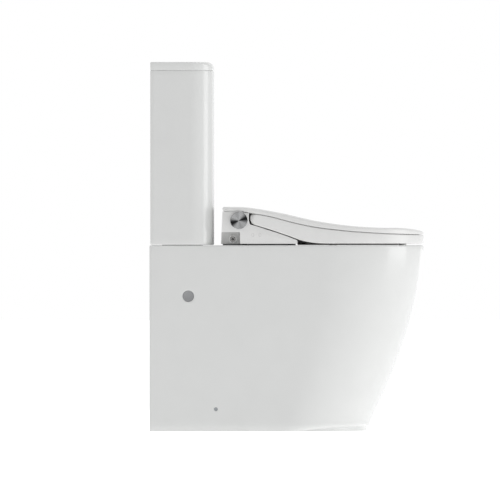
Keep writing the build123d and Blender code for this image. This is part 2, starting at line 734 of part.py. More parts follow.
def make_inlet_nipple():
    """Metal nipple: a quarter-inch thread that stands clear, a neck in the collar, a small bore."""
    shoulder = -INLET_OUT_X + INLET_FREE
    nipple = shaft(-INLET_OUT_X, shoulder, INLET_Y, INLET_Z, INLET_R)
    nipple += shaft(shoulder - 0.5, -151.0, INLET_Y, INLET_Z, 6.0)
    return nipple - shaft(-175.0, -150.0, INLET_Y, INLET_Z, 2.2)


def make_supply_tube():
    """Tube from the inlet to the selector valve."""
    route = [
        (-151.0, INLET_Y, INLET_Z),
        (-126.0, INLET_Y, INLET_Z),
        (-118.0, 104.0, 462.0),
        (-126.0, 102.0, 482.0),
        (-140.0, 102.0, 482.0),
    ]
    return tube_along(route, 6.0, 3.0)


def make_nozzle_tube(far):
    """Tube from the selector valve to the back of a nozzle sleeve."""
    x = NOZZLE_X if far else -NOZZLE_X
    end = (x, 113.91, 467.05)
    near_route = [(-140.0, 118.0, 473.5), (-40.0, 127.0, 471.8), (x, 127.0, 471.8), end]
    far_route = [
        (-140.0, 104.0, 489.0),
        (-115.0, 104.0, 489.0),
        (-90.0, 134.0, 486.0),
        (-5.0, 134.0, 486.0),
        (x, 131.0, 473.27),
        end,
    ]
    return tube_along(far_route if far else near_route, 5.0, 2.2)


def make_nozzle_block():
    """Twin sleeves that hold the nozzles, on a foot that stands on the floor plate."""
    block = nozzle_bar(-NOZZLE_X, 40.0, 100.0, 7.6) + nozzle_bar(NOZZLE_X, 40.0, 100.0, 7.6)
    web = Box(2 * NOZZLE_X, 8.0, 60.0, align=(Align.CENTER, Align.CENTER, Align.MIN))
    block += nozzle_plane(0) * Pos(0, 0, 40.0) * web
    block += slab(-14.0, 14.0, 74.0, 84.0, 432.5, 458.0)
    block += slab(-26.0, 26.0, 66.0, 92.0, 432.5, 436.0)
    for x in (-NOZZLE_X, NOZZLE_X):
        block -= nozzle_bar(x, 30.0, 97.0, NOZZLE_R + 0.3)
        block += nozzle_bar(x, 99.9, 106.0, 3.0)
    return block


def make_nozzle(x, holes):
    """Spray nozzle: a round bar with a rounded tip and small spray holes on its upper side."""
    bar = nozzle_bar(x, 0.0, NOZZLE_LENGTH, NOZZLE_R)
    tip = bar.edges().filter_by(GeomType.CIRCLE).sort_by(Axis.Y)[0]
    bar = fillet(tip, 2.5)
    for step in range(holes):
        spot = nozzle_plane(x) * Pos(0, 4.0, 7.0 + 2.2 * step) * Rot(-90, 0, 0)
        bar -= spot * Cylinder(0.6, 4.0)
    return bar


# ================= seat ring, lid and hinges =================
def seam_points(shift):
    """The lid and ring seam moved up or down."""
    return [(y, z + shift) for y, z in SEAM]


def ring_profile():
    """Side outline of the ring: thick at the hinge end, thin and level towards the nose."""
    top = Spline((74.0, 497.5), *[p for p in seam_points(-SEAM_GAP) if p[0] < 70])
    nose = Line((-320.0, 449.4), (-320.0, RING_UNDER_Z))
    flat = Line((-320.0, RING_UNDER_Z), (-90.0, RING_UNDER_Z))
    under = Spline(
        (-90.0, RING_UNDER_Z),
        (-66.0, 430.4),
        (-39.0, 434.6),
        (0.0, 447.8),
        (39.0, 461.0),
        (75.5, 472.0),
        tangents=[(1, 0), (1, 0.25)],
    )
    heel = ThreePointArc((75.5, 472.0), (84.2, 486.0), (74.0, 497.5))
    return make_face([top, nose, flat, under, heel])


def make_seat_ring():
    """Seat ring, an oval ring cut from the side outline."""
    plan = d_face(RING_HALF, NOSE_Y, SHOULDER_Y, 100.0, 400.0)
    ring = across(ring_profile(), -RING_HALF - 5, RING_HALF + 5) & extrude(plan, amount=120)
    hole = oval_face(HOLE_HALF, HOLE_FRONT_Y, HOLE_MID_Y, HOLE_BACK_Y, 400.0)
    return ring - extrude(hole, amount=120)


def make_seat_bumpers():
    """Rubber pads under the ring that rest on the pan rim."""
    pads = []
    for x, y in ((145.0, -106.0), (85.0, -266.0)):
        for side in (-1, 1):
            pads.append(post(side * x, y, RIM_Z + 0.3, RING_UNDER_Z, 8.0))
    return pads


def make_hinge_arms(ring):
    """Two arms from the top of the ring back to the hinge line."""
    outline = Polyline(
        (HINGE_Y, HINGE_Z - 4.2),
        (86.2, HINGE_Z - 4.2),
        (83.0, 496.0),
        (70.0, 488.0),
        (40.0, 488.0),
        (40.0, 494.8),
        (66.0, 502.5),
        (96.0, 508.0),
        (HINGE_Y, HINGE_Z + 0.6),
        (HINGE_Y, HINGE_Z - 4.2),
    )
    arms = []
    for low in (97.0, -111.4):
        arm = across(make_face(outline), low, low + 14.4)
        arm += shaft(low, low + 14.4, HINGE_Y, HINGE_Z, 4.8)
        arm -= shaft(low - 1, low + 16, HINGE_Y, HINGE_Z, PIN_R + RUNNING_FIT)
        arms.append(arm - ring)
    return arms


def make_hinge_posts():
    """Two fixed knuckles on the body's top."""
    posts = []
    for low in (112.0, -127.0):
        knuckle = slab(low, low + 15, 133.0, HINGE_Y, BODY_TOP_Z, HINGE_Z)
        knuckle += shaft(low, low + 15, HINGE_Y, HINGE_Z, BARREL_R)
        posts.append(knuckle - shaft(low - 1, low + 16, HINGE_Y, HINGE_Z, PIN_R))
    return posts


def make_hinge_pins():
    """Steel pins through posts, arms and lid."""
    return both_sides(shaft(90.0, 140.0, HINGE_Y, HINGE_Z, PIN_R))


def make_dampers():
    """Slim oil dampers pressed into the lid's back edge for a slow close."""
    return both_sides(shaft(40.0, 88.0, HINGE_Y, HINGE_Z, 4.0))


def lid_profile():
    """Side outline of the lid: round back edge, flat, then a long fall to the nose."""
    seam = seam_points(SEAM_GAP)
    top = Spline(
        (105.0, 514.0),
        (62.0, 508.8),
        (16.0, 500.5),
        (-66.0, 482.2),
        (-121.0, 473.4),
        (-213.0, 466.3),
        (-320.0, 463.6),
        tangents=[(-1, 0), (-1, 0)],
    )
    flat = Line((105.0, 514.0), (HINGE_Y, 514.0))
    heel = ThreePointArc(
        (HINGE_Y, 514.0), (HINGE_Y + BARREL_R, HINGE_Z), (HINGE_Y, HINGE_Z - BARREL_R + 0.3)
    )
    back = Line((HINGE_Y, HINGE_Z - BARREL_R + 0.3), seam[0])
    under = Spline(*seam)
    nose = Line(seam[-1], (-320.0, 463.6))
    return make_face([flat, heel, back, under, nose, top])


def lid_hollow_profile():
    """Side outline of the space under the lid's skin."""
    skin = LID_SKIN
    top = Spline(
        (105.0, 514.0 - skin),
        (62.0, 508.8 - skin),
        (16.0, 500.5 - skin),
        (-66.0, 482.2 - skin),
        (-121.0, 473.4 - skin),
        (-213.0, 466.3 - skin),
        (-320.0, 463.6 - skin),
        tangents=[(-1, 0), (-1, 0)],
    )
    rest = Polyline(
        (105.0, 514.0 - skin), (132.0, 514.0 - skin), (132.0, 420.0), (-320.0, 420.0)
    )
    nose = Line((-320.0, 420.0), (-320.0, 463.6 - skin))
    return make_face([rest, nose, top])


def make_lid():
    """Slim lid: a skin with a skirt all round and a solid hinge edge at the back."""
    plan = extrude(d_face(LID_HALF, NOSE_Y, SHOULDER_Y, 150.0, 400.0), amount=130)
    inner = extrude(d_face(LID_HALF - 4, NOSE_Y + 4, SHOULDER_Y, 150.0, 400.0), amount=130)
    lid = across(lid_profile(), -LID_HALF - 5, LID_HALF + 5) & plan
    lid -= across(lid_hollow_profile(), -LID_HALF - 5, LID_HALF + 5) & inner
    for side in (-1, 1):
        low, high = sorted((side * 96.4, side * 127.6))
        lid -= slab(low, high, 130.0, 155.0, 500.0, 520.0)
        lid -= shaft(side * 89.0, side * 140.5, HINGE_Y, HINGE_Z, PIN_R + RUNNING_FIT)
        lid -= shaft(side * 39.5, side * 89.0, HINGE_Y, HINGE_Z, 4.0)
    return lid


def make_lid_bumpers(lid, ring):
    """Rubber pads under the lid that rest on the ring. Each starts as a post from the ring to the skin."""
    pads = []
    for x, y, low, high in ((140.0, -60.0, 455.0, 481.6), (80.0, -262.0, 445.0, 463.2)):
        for side in (-1, 1):
            pads.append(post(side * x, y, low, high, 6.0) - lid - Pos(0, 0, 0.3) * ring)
    return pads


# ================= write every part =================
def main():
    os.makedirs("parts", exist_ok=True)
    save("pan", make_pan())
    save("access_plugs", both_sides(make_access_plug()))
    save("floor_brackets", both_sides(make_floor_bracket()))
    save("bracket_side_screws", both_sides(make_side_screw()))
    save("bracket_floor_screws", both_sides(make_floor_screw()))

    save("cistern", make_cistern())
    save("cistern_lid", make_cistern_lid())
    save("cistern_pads", make_cistern_pads())
    save("cistern_bolts", make_cistern_bolts())
    save("cistern_bolt_seals", make_bolt_seals())
    save("cistern_wing_nuts", make_wing_nuts())
    save("coupling_seal", make_coupling_seal())

    save("flush_valve_body", make_flush_valve_body())
    save("flush_valve_core", make_flush_core())
    save("flush_valve_seal", make_flush_seal())
    save("flush_valve_nut", make_valve_nut())
    save("flush_valve_floor_seal", make_valve_floor_seal())

    save("fill_valve_body", make_fill_valve_body())
    save("fill_valve_seal", make_fill_seal())
    save("fill_valve_nut", make_fill_nut())
    save("float_cup", make_float_cup())
    save("float_lever", make_float_lever())
    save("float_lever_pin", make_lever_pin())

    save("button_bezel", make_button_bezel())
    save("button_nut", make_button_nut())
    for name, full, x in (("full", True, FULL_ROD_X), ("half", False, HALF_ROD_X)):
        save(f"{name}_flush_button", make_button(full))
        save(f"{name}_flush_rod", make_rod(x))
        save(f"{name}_flush_spring", make_spring(x))

    save("seat_body_cover", make_body_cover())
    save("seat_body_base", make_body_base())
    save("seat_base_screws", make_base_screws())
    save("seat_body_feet", make_body_feet())
    save("seat_fixing_plate", make_fixing_plate())
    save("seat_bolts", make_seat_bolts())
    save("seat_bolt_nuts", make_seat_bolt_nuts())
    save("selector_valve", make_selector_valve())
    save("knob_spindle", make_knob_spindle())
    save("control_knob", make_control_knob())
    save("knob_cap", make_knob_cap())
    save("inlet_collar", make_inlet_collar())
    save("inlet_nipple", make_inlet_nipple())
    save("supply_tube", make_supply_tube())
    save("rear_nozzle_tube", make_nozzle_tube(False))
    save("front_nozzle_tube", make_nozzle_tube(True))
    save("nozzle_block", make_nozzle_block())
    save("rear_nozzle", make_nozzle(-NOZZLE_X, 1))
    save("front_nozzle", make_nozzle(NOZZLE_X, 3))

    ring = make_seat_ring()
    lid = make_lid()
    save("seat_ring", ring)
    save("seat_bumpers", make_seat_bumpers())
    save("seat_hinge_arms", make_hinge_arms(ring))
    save("seat_hinge_posts", make_hinge_posts())
    save("hinge_pins", make_hinge_pins())
    save("hinge_dampers", make_dampers())
    save("seat_lid", lid)
    save("lid_bumpers", make_lid_bumpers(lid, ring))


main()
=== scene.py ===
import bmesh
import bpy
import numpy as np
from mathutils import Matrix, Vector


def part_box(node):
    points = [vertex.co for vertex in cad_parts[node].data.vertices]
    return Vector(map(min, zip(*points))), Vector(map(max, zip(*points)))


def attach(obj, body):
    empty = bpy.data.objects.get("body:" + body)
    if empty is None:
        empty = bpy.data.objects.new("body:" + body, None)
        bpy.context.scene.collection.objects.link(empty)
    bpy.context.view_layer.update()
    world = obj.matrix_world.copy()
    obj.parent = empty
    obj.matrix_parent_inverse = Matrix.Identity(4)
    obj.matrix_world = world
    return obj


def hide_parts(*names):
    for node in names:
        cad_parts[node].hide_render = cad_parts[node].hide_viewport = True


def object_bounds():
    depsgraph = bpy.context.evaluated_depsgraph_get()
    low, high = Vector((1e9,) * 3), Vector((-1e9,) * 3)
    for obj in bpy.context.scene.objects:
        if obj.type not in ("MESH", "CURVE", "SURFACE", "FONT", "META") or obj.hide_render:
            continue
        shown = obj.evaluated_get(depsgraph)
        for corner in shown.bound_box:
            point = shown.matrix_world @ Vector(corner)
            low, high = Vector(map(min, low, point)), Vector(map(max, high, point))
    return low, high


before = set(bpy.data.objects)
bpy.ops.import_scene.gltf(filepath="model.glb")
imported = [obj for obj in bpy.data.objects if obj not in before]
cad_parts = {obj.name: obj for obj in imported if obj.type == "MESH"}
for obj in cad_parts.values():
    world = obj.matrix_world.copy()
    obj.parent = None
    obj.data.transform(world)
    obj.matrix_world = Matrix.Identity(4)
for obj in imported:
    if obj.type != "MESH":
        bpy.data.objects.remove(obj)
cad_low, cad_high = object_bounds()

MM = 0.001
FULL_TURN = 2 * np.pi

# ---------------------------------------------------------------- materials

NOISE_LOW, NOISE_HIGH = 0.3, 0.7   # most of a noise's values fall between these
PAINTED_FAN_LOW, PAINTED_FAN_HIGH = -0.45, 0.95    # the same for the spun disc's painted reflection fans
COAT_ROUGH = 0.12


def linear(hex_colour):
    """An sRGB hex colour as a linear RGBA tuple."""
    parts = [int(hex_colour[i:i + 2], 16) / 255 for i in (0, 2, 4)]
    return tuple(c / 12.92 if c <= 0.04045 else ((c + 0.055) / 1.055) ** 2.4 for c in parts) + (1.0,)


def add(tree, kind, settings=None, **inputs):
    """Adds one shader node with its settings. An input is a value or a socket to link. It is named with _
    for a space, or i and its number."""
    made = tree.nodes.new("ShaderNode" + kind)
    for key, value in (settings or {}).items():
        setattr(made, key, value)
    for key, value in inputs.items():
        numbered = key[0] == "i" and key[1:].isdigit()
        socket = made.inputs[int(key[1:]) if numbered else key.replace("_", " ")]
        if isinstance(value, bpy.types.NodeSocket):
            tree.links.new(value, socket)
        else:
            socket.default_value = value
    return made


def blank(name):
    """An empty material: returns it, its tree, and the place on the object in metres."""
    made = bpy.data.materials.new(name)
    made.use_nodes = True
    tree = made.node_tree
    tree.nodes.clear()
    return made, tree, add(tree, "TexCoord").outputs["Object"]


def finished(made, **shader):
    """Gives a material its shader, whose sockets take the given values and links."""
    core = add(made.node_tree, "BsdfPrincipled", **shader)
    add(made.node_tree, "OutputMaterial", Surface=core.outputs["BSDF"])
    return made


def clouded(tree, place, size_mm, light, dark, detail=3.0):
    """A colour that drifts between two hexes in clouds about size_mm across. Returns the clouds too."""
    cloud = add(tree, "TexNoise", Vector=place, Scale=1 / (size_mm * MM), Detail=detail).outputs["Fac"]
    share = add(tree, "MapRange", i0=cloud, i1=NOISE_LOW, i2=NOISE_HIGH).outputs["Result"]
    colour = add(tree, "Mix", {"data_type": "RGBA"}, i0=share, i6=linear(light), i7=linear(dark))
    return colour.outputs[2], cloud


def grained(tree, place, size_mm, detail, rough_low, rough_high, depth_mm):
    """A grain about size_mm across: as a roughness between two values, and as a bump depth_mm deep."""
    grain = add(tree, "TexNoise", Vector=place, Scale=1 / (size_mm * MM), Detail=detail).outputs["Fac"]
    rough = add(tree, "MapRange", i0=grain, i1=NOISE_LOW, i2=NOISE_HIGH, i3=rough_low, i4=rough_high)
    relief = add(tree, "Bump", Height=grain, Strength=1.0, Distance=depth_mm * MM)
    return rough.outputs["Result"], relief.outputs["Normal"]


def vitreous_china():
    """Vitreous china: slip-cast clay under a fired tin-white glaze, so it is hard, glossy and very slightly
    wavy, with tiny pinholes and a faint clouding where the glaze lies thicker."""
    made, tree, place = blank("glazed_vitreous_china")
    colour, cloud = clouded(tree, place, 70, "F1F2F1", "EFF0EF")
    rough = add(tree, "MapRange", i0=cloud, i1=NOISE_LOW, i2=NOISE_HIGH, i3=0.16, i4=0.22)
    relief = []
    for size_mm, detail, depth_mm in ((9, 1.0, 0.012), (1.6, 0.0, 0.002)):   # the waves, then the pinholes
        height = add(tree, "TexNoise", Vector=place, Scale=1 / (size_mm * MM), Detail=detail).outputs["Fac"]
        below = {"Normal": relief[-1]} if relief else {}
        step = add(tree, "Bump", Height=height, Strength=1.0, Distance=depth_mm * MM, **below)
        relief.append(step.outputs["Normal"])
    return finished(made, Base_Color=colour, Roughness=rough.outputs["Result"], IOR=1.52, Normal=relief[1],
                    Coat_Weight=0.25, Coat_Roughness=COAT_ROUGH, Coat_Normal=relief[0])


def moulded(name, light, dark, rough_low, rough_high, grain_mm=0.8, grain_depth=0.004, flow_mm=60, **shader):
    """A moulded plastic or rubber: faint flow clouding in its colour, and a fine grain left by the mould."""
    made, tree, place = blank(name)
    colour, _ = clouded(tree, place, flow_mm, light, dark)
    rough, relief = grained(tree, place, grain_mm, 2.0, rough_low, rough_high, grain_depth)
    return finished(made, Base_Color=colour, Roughness=rough, Normal=relief, **shader)


def metal(name, light, dark, rough_low, rough_high, stretch=(1, 1, 1), cloud_mm=12, grain_mm=0.5,
          depth=0.003):
    """A metal: stretch is how much finer its grain is along X, Y and Z, as drawing leaves it."""
    made, tree, place = blank(name)
    colour, _ = clouded(tree, place, cloud_mm, light, dark)
    drawn = add(tree, "Mapping", Vector=place, Scale=stretch).outputs["Vector"]
    rough, relief = grained(tree, drawn, grain_mm, 3.0, rough_low, rough_high, depth)
    return finished(made, Base_Color=colour, Metallic=1.0, Roughness=rough, Normal=relief)


def spun_aluminium_painted_fans():
    """Spun aluminium: fine rings left by the turning, which its grain follows round the disc. Bright and dark
    fans round the centre are painted reflections in its colour, the sum of two sine waves, of two and of four
    fans a turn. Its map gives the turn round the disc and the share of the radius."""
    made, tree, _ = blank("spun_aluminium_painted_fans")
    tangent = add(tree, "Tangent", {"direction_type": "UV_MAP", "uv_map": "turning"}).outputs["Tangent"]
    on_disc = add(tree, "UVMap", {"uv_map": "turning"}).outputs["UV"]
    drawn_round = add(tree, "Mapping", Vector=on_disc, Scale=(0.02, 1, 1)).outputs["Vector"]
    rough, relief = grained(tree, drawn_round, 14, 3.0, 0.2, 0.34, 0.002)
    turn = add(tree, "SeparateXYZ", Vector=on_disc).outputs["X"]
    waves = []
    for fans, start, weight in ((2, 2.2, 0.6), (4, 2.83, 0.45)):
        angle = add(tree, "Math", {"operation": "MULTIPLY_ADD"}, i0=turn, i1=fans * FULL_TURN, i2=start)
        wave = add(tree, "Math", {"operation": "SINE"}, i0=angle.outputs["Value"])
        waves.append(add(tree, "Math", {"operation": "MULTIPLY"}, i0=wave.outputs["Value"], i1=weight))
    painted_fan_tone = add(tree, "Math", i0=waves[0].outputs["Value"], i1=waves[1].outputs["Value"])
    share = add(tree, "MapRange", i0=painted_fan_tone.outputs["Value"], i1=PAINTED_FAN_LOW, i2=PAINTED_FAN_HIGH).outputs["Result"]
    colour = add(tree, "Mix", {"data_type": "RGBA"}, i0=share, i6=linear("C4C5C6"), i7=linear("2B2C2D"))
    return finished(made, Base_Color=colour.outputs[2], Metallic=1.0, Roughness=rough, Normal=relief,
                    Anisotropic=0.92, Anisotropic_Rotation=0.25, Tangent=tangent)


def make_materials():
    """Every slot's material."""
    return {
        "vitreous_china": vitreous_china(),
        # Injection moulded polypropylene: satin white, softer in shine than the china.
        "seat_plastic": moulded("moulded_polypropylene_white", "F6F6F5", "F2F2F1", 0.22, 0.3, 1.2, 0.003,
                                IOR=1.49),
        # Moulded EPDM rubber: dull, with a fine tooth. The plugs are filled grey, the seals black.
        "grey_rubber": moulded("moulded_epdm_grey", "A8A9AB", "9C9D9F", 0.5, 0.62, 0.6, 0.01, IOR=1.5),
        "black_rubber": moulded("moulded_epdm_black", "1E1F20", "2A2B2C", 0.5, 0.7, 0.6, 0.01),
        # Soft thermoplastic rubber pads: pale and matt. On the recess pad its grey is painted shade.
        "soft_rubber": moulded("soft_tpe_pale_grey", "D6D6D5", "CDCDCC", 0.45, 0.6, 0.6, 0.008),
        # Cast silicone: even red with a dull glow.
        "red_silicone": moulded("silicone_red", "A8392F", "983026", 0.4, 0.5, 0.6, 0.006),
        # Zinc plated steel: cool grey with a faint mottle from the plating bath.
        "zinc_plated_steel": metal("zinc_plated_steel", "C9CDD0", "B4B9BE", 0.28, 0.5, (1, 1, 1), 6, 1.5,
                                   0.004),
        # Drawn stainless steel: long fine lines along Y, where the die ran.
        "stainless_steel": metal("drawn_stainless_steel", "C8C9C9", "BBBCBD", 0.2, 0.34, (1, 0.15, 1)),
        # Turned brass: yellow and half bright.
        "brass": metal("turned_brass", "C9A25A", "B98F48", 0.22, 0.36),
        # Nickel over brass: warm grey and bright.
        "nickel_plated_brass": metal("nickel_plated_brass", "A9A8A6", "959492", 0.18, 0.3),
        # Chromed ABS: a mirror with very soft waves from the moulding.
        "chromed_plastic": metal("chromed_abs", "DADCDD", "D2D4D6", 0.05, 0.09, (1, 1, 1), 20, 4, 0.001),
        # Spun aluminium whose bright and dark fans round the centre are painted reflections in its colour.
        "spun_metal": spun_aluminium_painted_fans(),
        # Moulded ABS of the valves: plain and half dull, white or blue.
        "valve_plastic": moulded("moulded_abs_white", "E4E5E2", "DADBD7", 0.35, 0.45, 0.8, 0.006),
        "valve_core_plastic": moulded("moulded_abs_blue", "4470A8", "3C669C", 0.35, 0.45, 0.8, 0.006),
        # Extruded soft PVC: milky, and smoother than the moulded parts.
        "clear_hose": moulded("milky_pvc_hose", "D9DDDC", "CDD2D1", 0.2, 0.3, 2.0, 0.004),
        # Moulded acetal: dense black with a low shine.
        "black_plastic": moulded("moulded_pom_black", "202123", "2B2C2E", 0.35, 0.5, 0.8, 0.005),
    }


MATERIALS = make_materials()
for cad_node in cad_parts.values():
    slot = cad_node.data.materials[0].name.split(".")[0]
    cad_node.material_slots[0].material = MATERIALS[slot]

# ---------------------------------------------------------------- surfaces


SAME_SPOT, NO_LENGTH = 2e-6, 1e-7   # metres
SHARP_DEG = 32
FLAT_DEG = 0.6    # faces of a CAD part that turn less than this are one face


def box_mm(node):
    """A CAD node's lowest and highest corners in millimetres."""
    low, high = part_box(node)
    return np.array(low) / MM, np.array(high) / MM


def piece_of(name, work):
    """A bmesh as a new object, with the bmesh freed."""
    data = bpy.data.meshes.new(name)
    work.to_mesh(data)
    work.free()
    made = bpy.data.objects.new(name, data)
    bpy.context.scene.collection.objects.link(made)
    return made


def mesh_piece(name, points, close_rows=False):
    """A mesh from a grid of points in millimetres, rows by columns. Columns close on themselves, and rows
    too where asked. Points that fall together are merged, and the faces then point outwards."""
    rows, columns = points.shape[:2]
    index = np.arange(rows * columns).reshape(rows, columns)
    if close_rows:
        index = np.vstack([index, index[:1]])
    near, far = index[:-1], index[1:]
    faces = np.stack([near, np.roll(near, -1, 1), np.roll(far, -1, 1), far], -1).reshape(-1, 4)
    data = bpy.data.meshes.new("grid")
    data.from_pydata((points.reshape(-1, 3) * MM).tolist(), [], faces.tolist())
    work = bmesh.new()
    work.from_mesh(data)
    bpy.data.meshes.remove(data)
    bmesh.ops.remove_doubles(work, verts=work.verts, dist=SAME_SPOT)
    bmesh.ops.dissolve_degenerate(work, edges=work.edges, dist=NO_LENGTH)
    bmesh.ops.recalc_face_normals(work, faces=work.faces)
    return piece_of(name, work)


def solid(name, rings):
    """A closed solid from rings of points, with a pole in the middle of its first and last ring."""
    ends = [np.broadcast_to(ring.mean(0), ring.shape)[None] for ring in (rings[0], rings[-1])]
    return mesh_piece(name, np.concatenate([ends[0], rings, ends[1]]))


def lathe_rings(profile, centre, axis, columns=64):
    """Rings of a turned shape: each (distance along the axis, radius) pair of the profile, carried round
    the axis X, Y or Z through centre."""
    along, radius = np.array(profile, float).T
    turn = np.linspace(0, FULL_TURN, columns, endpoint=False)
    points = np.zeros((len(along), columns, 3))
    main = "XYZ".index(axis)
    first, second = [k for k in range(3) if k != main]
    points[..., main] = centre[main] + along[:, None]
    points[..., first] = centre[first] + radius[:, None] * np.cos(turn)
    points[..., second] = centre[second] + radius[:, None] * np.sin(turn)
    return points


def block_rings(low, high):
    """The two rings of a plain block between two corners."""
    x0, y0, z0 = low
    x1, y1, z1 = high
    ring = np.array([(x0, y0), (x1, y0), (x1, y1), (x0, y1)])
    return np.stack([np.hstack([ring, np.full((4, 1), z)]) for z in (z0, z1)])


def joined(name, solids):
    """Several separate closed solids as one object."""
    work = bmesh.new()
    for one in solids:
        work.from_mesh(one.data)
        bpy.data.objects.remove(one)
    return piece_of(name, work)


def baked(piece):
    """Applies a piece's modifiers."""
    seen = piece.evaluated_get(bpy.context.evaluated_depsgraph_get())
    data = bpy.data.meshes.new_from_object(seen)
    piece.modifiers.clear()
    piece.data = data
    return piece


def carve(piece, solids, operation="DIFFERENCE"):
    """Cuts closed solids out of a piece, or joins them to it with UNION."""
    tool = joined("tool", solids) if len(solids) > 1 else solids[0]
    work = piece.modifiers.new("carve", "BOOLEAN")
    work.operation, work.solver, work.object = operation, "MANIFOLD", tool
    baked(piece)
    bpy.data.objects.remove(tool)
    return piece


def dress(piece, slot, body, nodes, sharp_deg=SHARP_DEG):
    """Smooth shading with sharp edges past an angle, the slot's material, and the piece's body."""
    piece.data.shade_smooth()
    piece.data.set_sharp_from_angle(angle=np.radians(sharp_deg))
    piece.data.materials.clear()
    piece.data.materials.append(MATERIALS[slot])
    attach(piece, body)
    if nodes:
        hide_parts(*nodes)
    return piece


def rounded(name, node, width, skirt_from=0.0, skirt=0.0):
    """A copy of a CAD part whose triangles are merged into whole faces and whose edges are rounded. Corners
    lower than skirt_from are first carried down by skirt."""
    work = bmesh.new()
    work.from_mesh(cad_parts[node].data)
    bmesh.ops.remove_doubles(work, verts=work.verts, dist=SAME_SPOT)
    for corner in work.verts:
        corner.co.z -= skirt * MM * (corner.co.z < skirt_from * MM)
    bmesh.ops.dissolve_limit(work, angle_limit=np.radians(FLAT_DEG), verts=work.verts, edges=work.edges)
    made = piece_of(name, work)
    if "custom_normal" in made.data.attributes:
        made.data.attributes.remove(made.data.attributes["custom_normal"])
    round_off = made.modifiers.new("round_off", "BEVEL")
    round_off.width, round_off.segments = width * MM, 3
    round_off.limit_method, round_off.angle_limit = "ANGLE", np.radians(SHARP_DEG)
    return baked(made)


def softened(profile, ease, steps=5):
    """A turned profile whose inner corners are rounded: each becomes a quadratic curve that starts and ends
    ease away from it, or less where its sides are short."""
    spots = np.array(profile, float)
    here, sides = spots[1:-1], np.stack([spots[:-2], spots[2:]]) - spots[1:-1]
    length = np.linalg.norm(sides, axis=-1)
    reach = np.minimum(ease, 0.45 * length.min(0))
    start, end = here + sides * (reach / length)[..., None]
    t = np.linspace(0, 1, steps)[:, None]
    curve = start[:, None] * (1 - t) ** 2 + here[:, None] * 2 * t * (1 - t) + end[:, None] * t**2
    return np.vstack([spots[:1], curve.reshape(-1, 2), spots[-1:]])


def turned(name, profile, centre, axis, ease, columns=96):
    """A turned solid with rounded corners. Its profile starts and ends on or near the axis."""
    return solid(name, lathe_rings(softened(profile, ease), centre, axis, columns))


def smooth_line(x, knots):
    """Height at x of a smooth curve through the knots, a cubic between each two with the slopes of their
    neighbours."""
    at, height = np.array(sorted(knots), float).T
    slope = np.gradient(height, at)
    x = np.clip(x, at[0], at[-1])
    k = np.clip(np.searchsorted(at, x) - 1, 0, len(at) - 2)
    span = at[k + 1] - at[k]
    t = (x - at[k]) / span
    return ((2 * t**3 - 3 * t**2 + 1) * height[k] + (t**3 - 2 * t**2 + t) * span * slope[k]
            + (3 * t**2 - 2 * t**3) * height[k + 1] + (t**3 - t**2) * span * slope[k + 1])


def quarter(count):
    """Angles of a quarter turn, ends included."""
    return np.linspace(0, np.pi / 2, count)


def tall(*values):
    """Values as columns, one row for each, so that they spread over an outline."""
    wide = np.broadcast_arrays(*[np.atleast_1d(np.asarray(v, float)) for v in values])
    return [v[:, None] for v in wide]


def d_outline(half, nose, shoulder, back, corner, counts):
    """D-shaped outlines, one a row: from the middle of the straight back, round a corner, down the straight
    side to the shoulder, by a quarter ellipse to the nose, and the same mirrored on the way back."""
    half, nose, shoulder, back, corner = tall(half, nose, shoulder, back, corner)
    on_back, on_corner, on_side, on_nose = counts
    t = np.linspace(0, 1, on_back, endpoint=False)
    a = quarter(on_corner + 1)[:-1]
    s = np.linspace(0, 1, on_side, endpoint=False)
    n = quarter(on_nose + 1)
    x = np.hstack([(half - corner) * t, half - corner + corner * np.sin(a), half + 0 * s, half * np.cos(n)])
    y = np.hstack([back + 0 * t, back - corner + corner * np.cos(a),
                   back - corner + (shoulder - back + corner) * s, shoulder - (shoulder - nose) * np.sin(n)])
    return np.stack([np.hstack([x, -x[:, -2:0:-1]]), np.hstack([y, y[:, -2:0:-1]])], -1)


def at_height(outline, z):
    """Outlines with their heights, which may be one for a row or one for each point."""
    z = np.broadcast_to(np.asarray(z, float).reshape(len(outline), -1), outline.shape[:2])
    return np.concatenate([outline, z[..., None]], -1)


def between(first, last, count):
    """Rows of points spread evenly from one ring to another, ends left out."""
    t = np.linspace(0, 1, count + 2)[1:-1, None, None]
    return first[None] * (1 - t) + last[None] * t


# ---------------------------------------------------------------- pan

PAN_LOW, PAN_HIGH = box_mm("pan")
PAN_HALF, RIM_Z, NOSE_Y, BACK_Y = PAN_HIGH[0], PAN_HIGH[2], PAN_LOW[1], PAN_HIGH[1]
PAN_COUNTS = (16, 5, 44, 54)   # points on the back, a corner, a side and a quarter of the nose
PAN_WALL, BOWL_WALL, DECK = 10.0, 9.0, 16.0
FOOT_Z, FOOT_NOSE = 22.0, -182.5
RIM_ROUND, BOWL_ROUND = 4.0, 7.0
UNDER_DECK = RIM_Z - DECK
TRAP_R, OUTLET_IN_R, OUTLET_OUT_R, OUTLET_Z, OUTLET_Y = 38.0, 42.0, 51.0, 185.0, 302.0
VALVE_Y, FILL = 240.0, (130.0, 250.0)                 # flush valve, and the fill valve's X and Y
PLUG, BRACKET = (225.8, 309.5), (162.6, 51.0)         # side holes, as Y and Z
BOLT_X, BOLT_Y = 75.0, VALVE_Y                        # coupling bolts
SEAT_BOLT_X, SEAT_BOLT_Y = 77.5, 97.0
# The bowl's front and back, and its half width, at each height.
BOWL_FRONT = [(170, -96), (215, -140), (270, -198), (330, -244), (385, -271), (426, -276)]
BOWL_BACK = [(170, 14), (215, 16), (270, 14), (330, 16), (385, 22), (426, 24)]
BOWL_HALF = [(170, 56), (215, 72), (270, 98), (330, 122), (385, 136), (426, 138)]
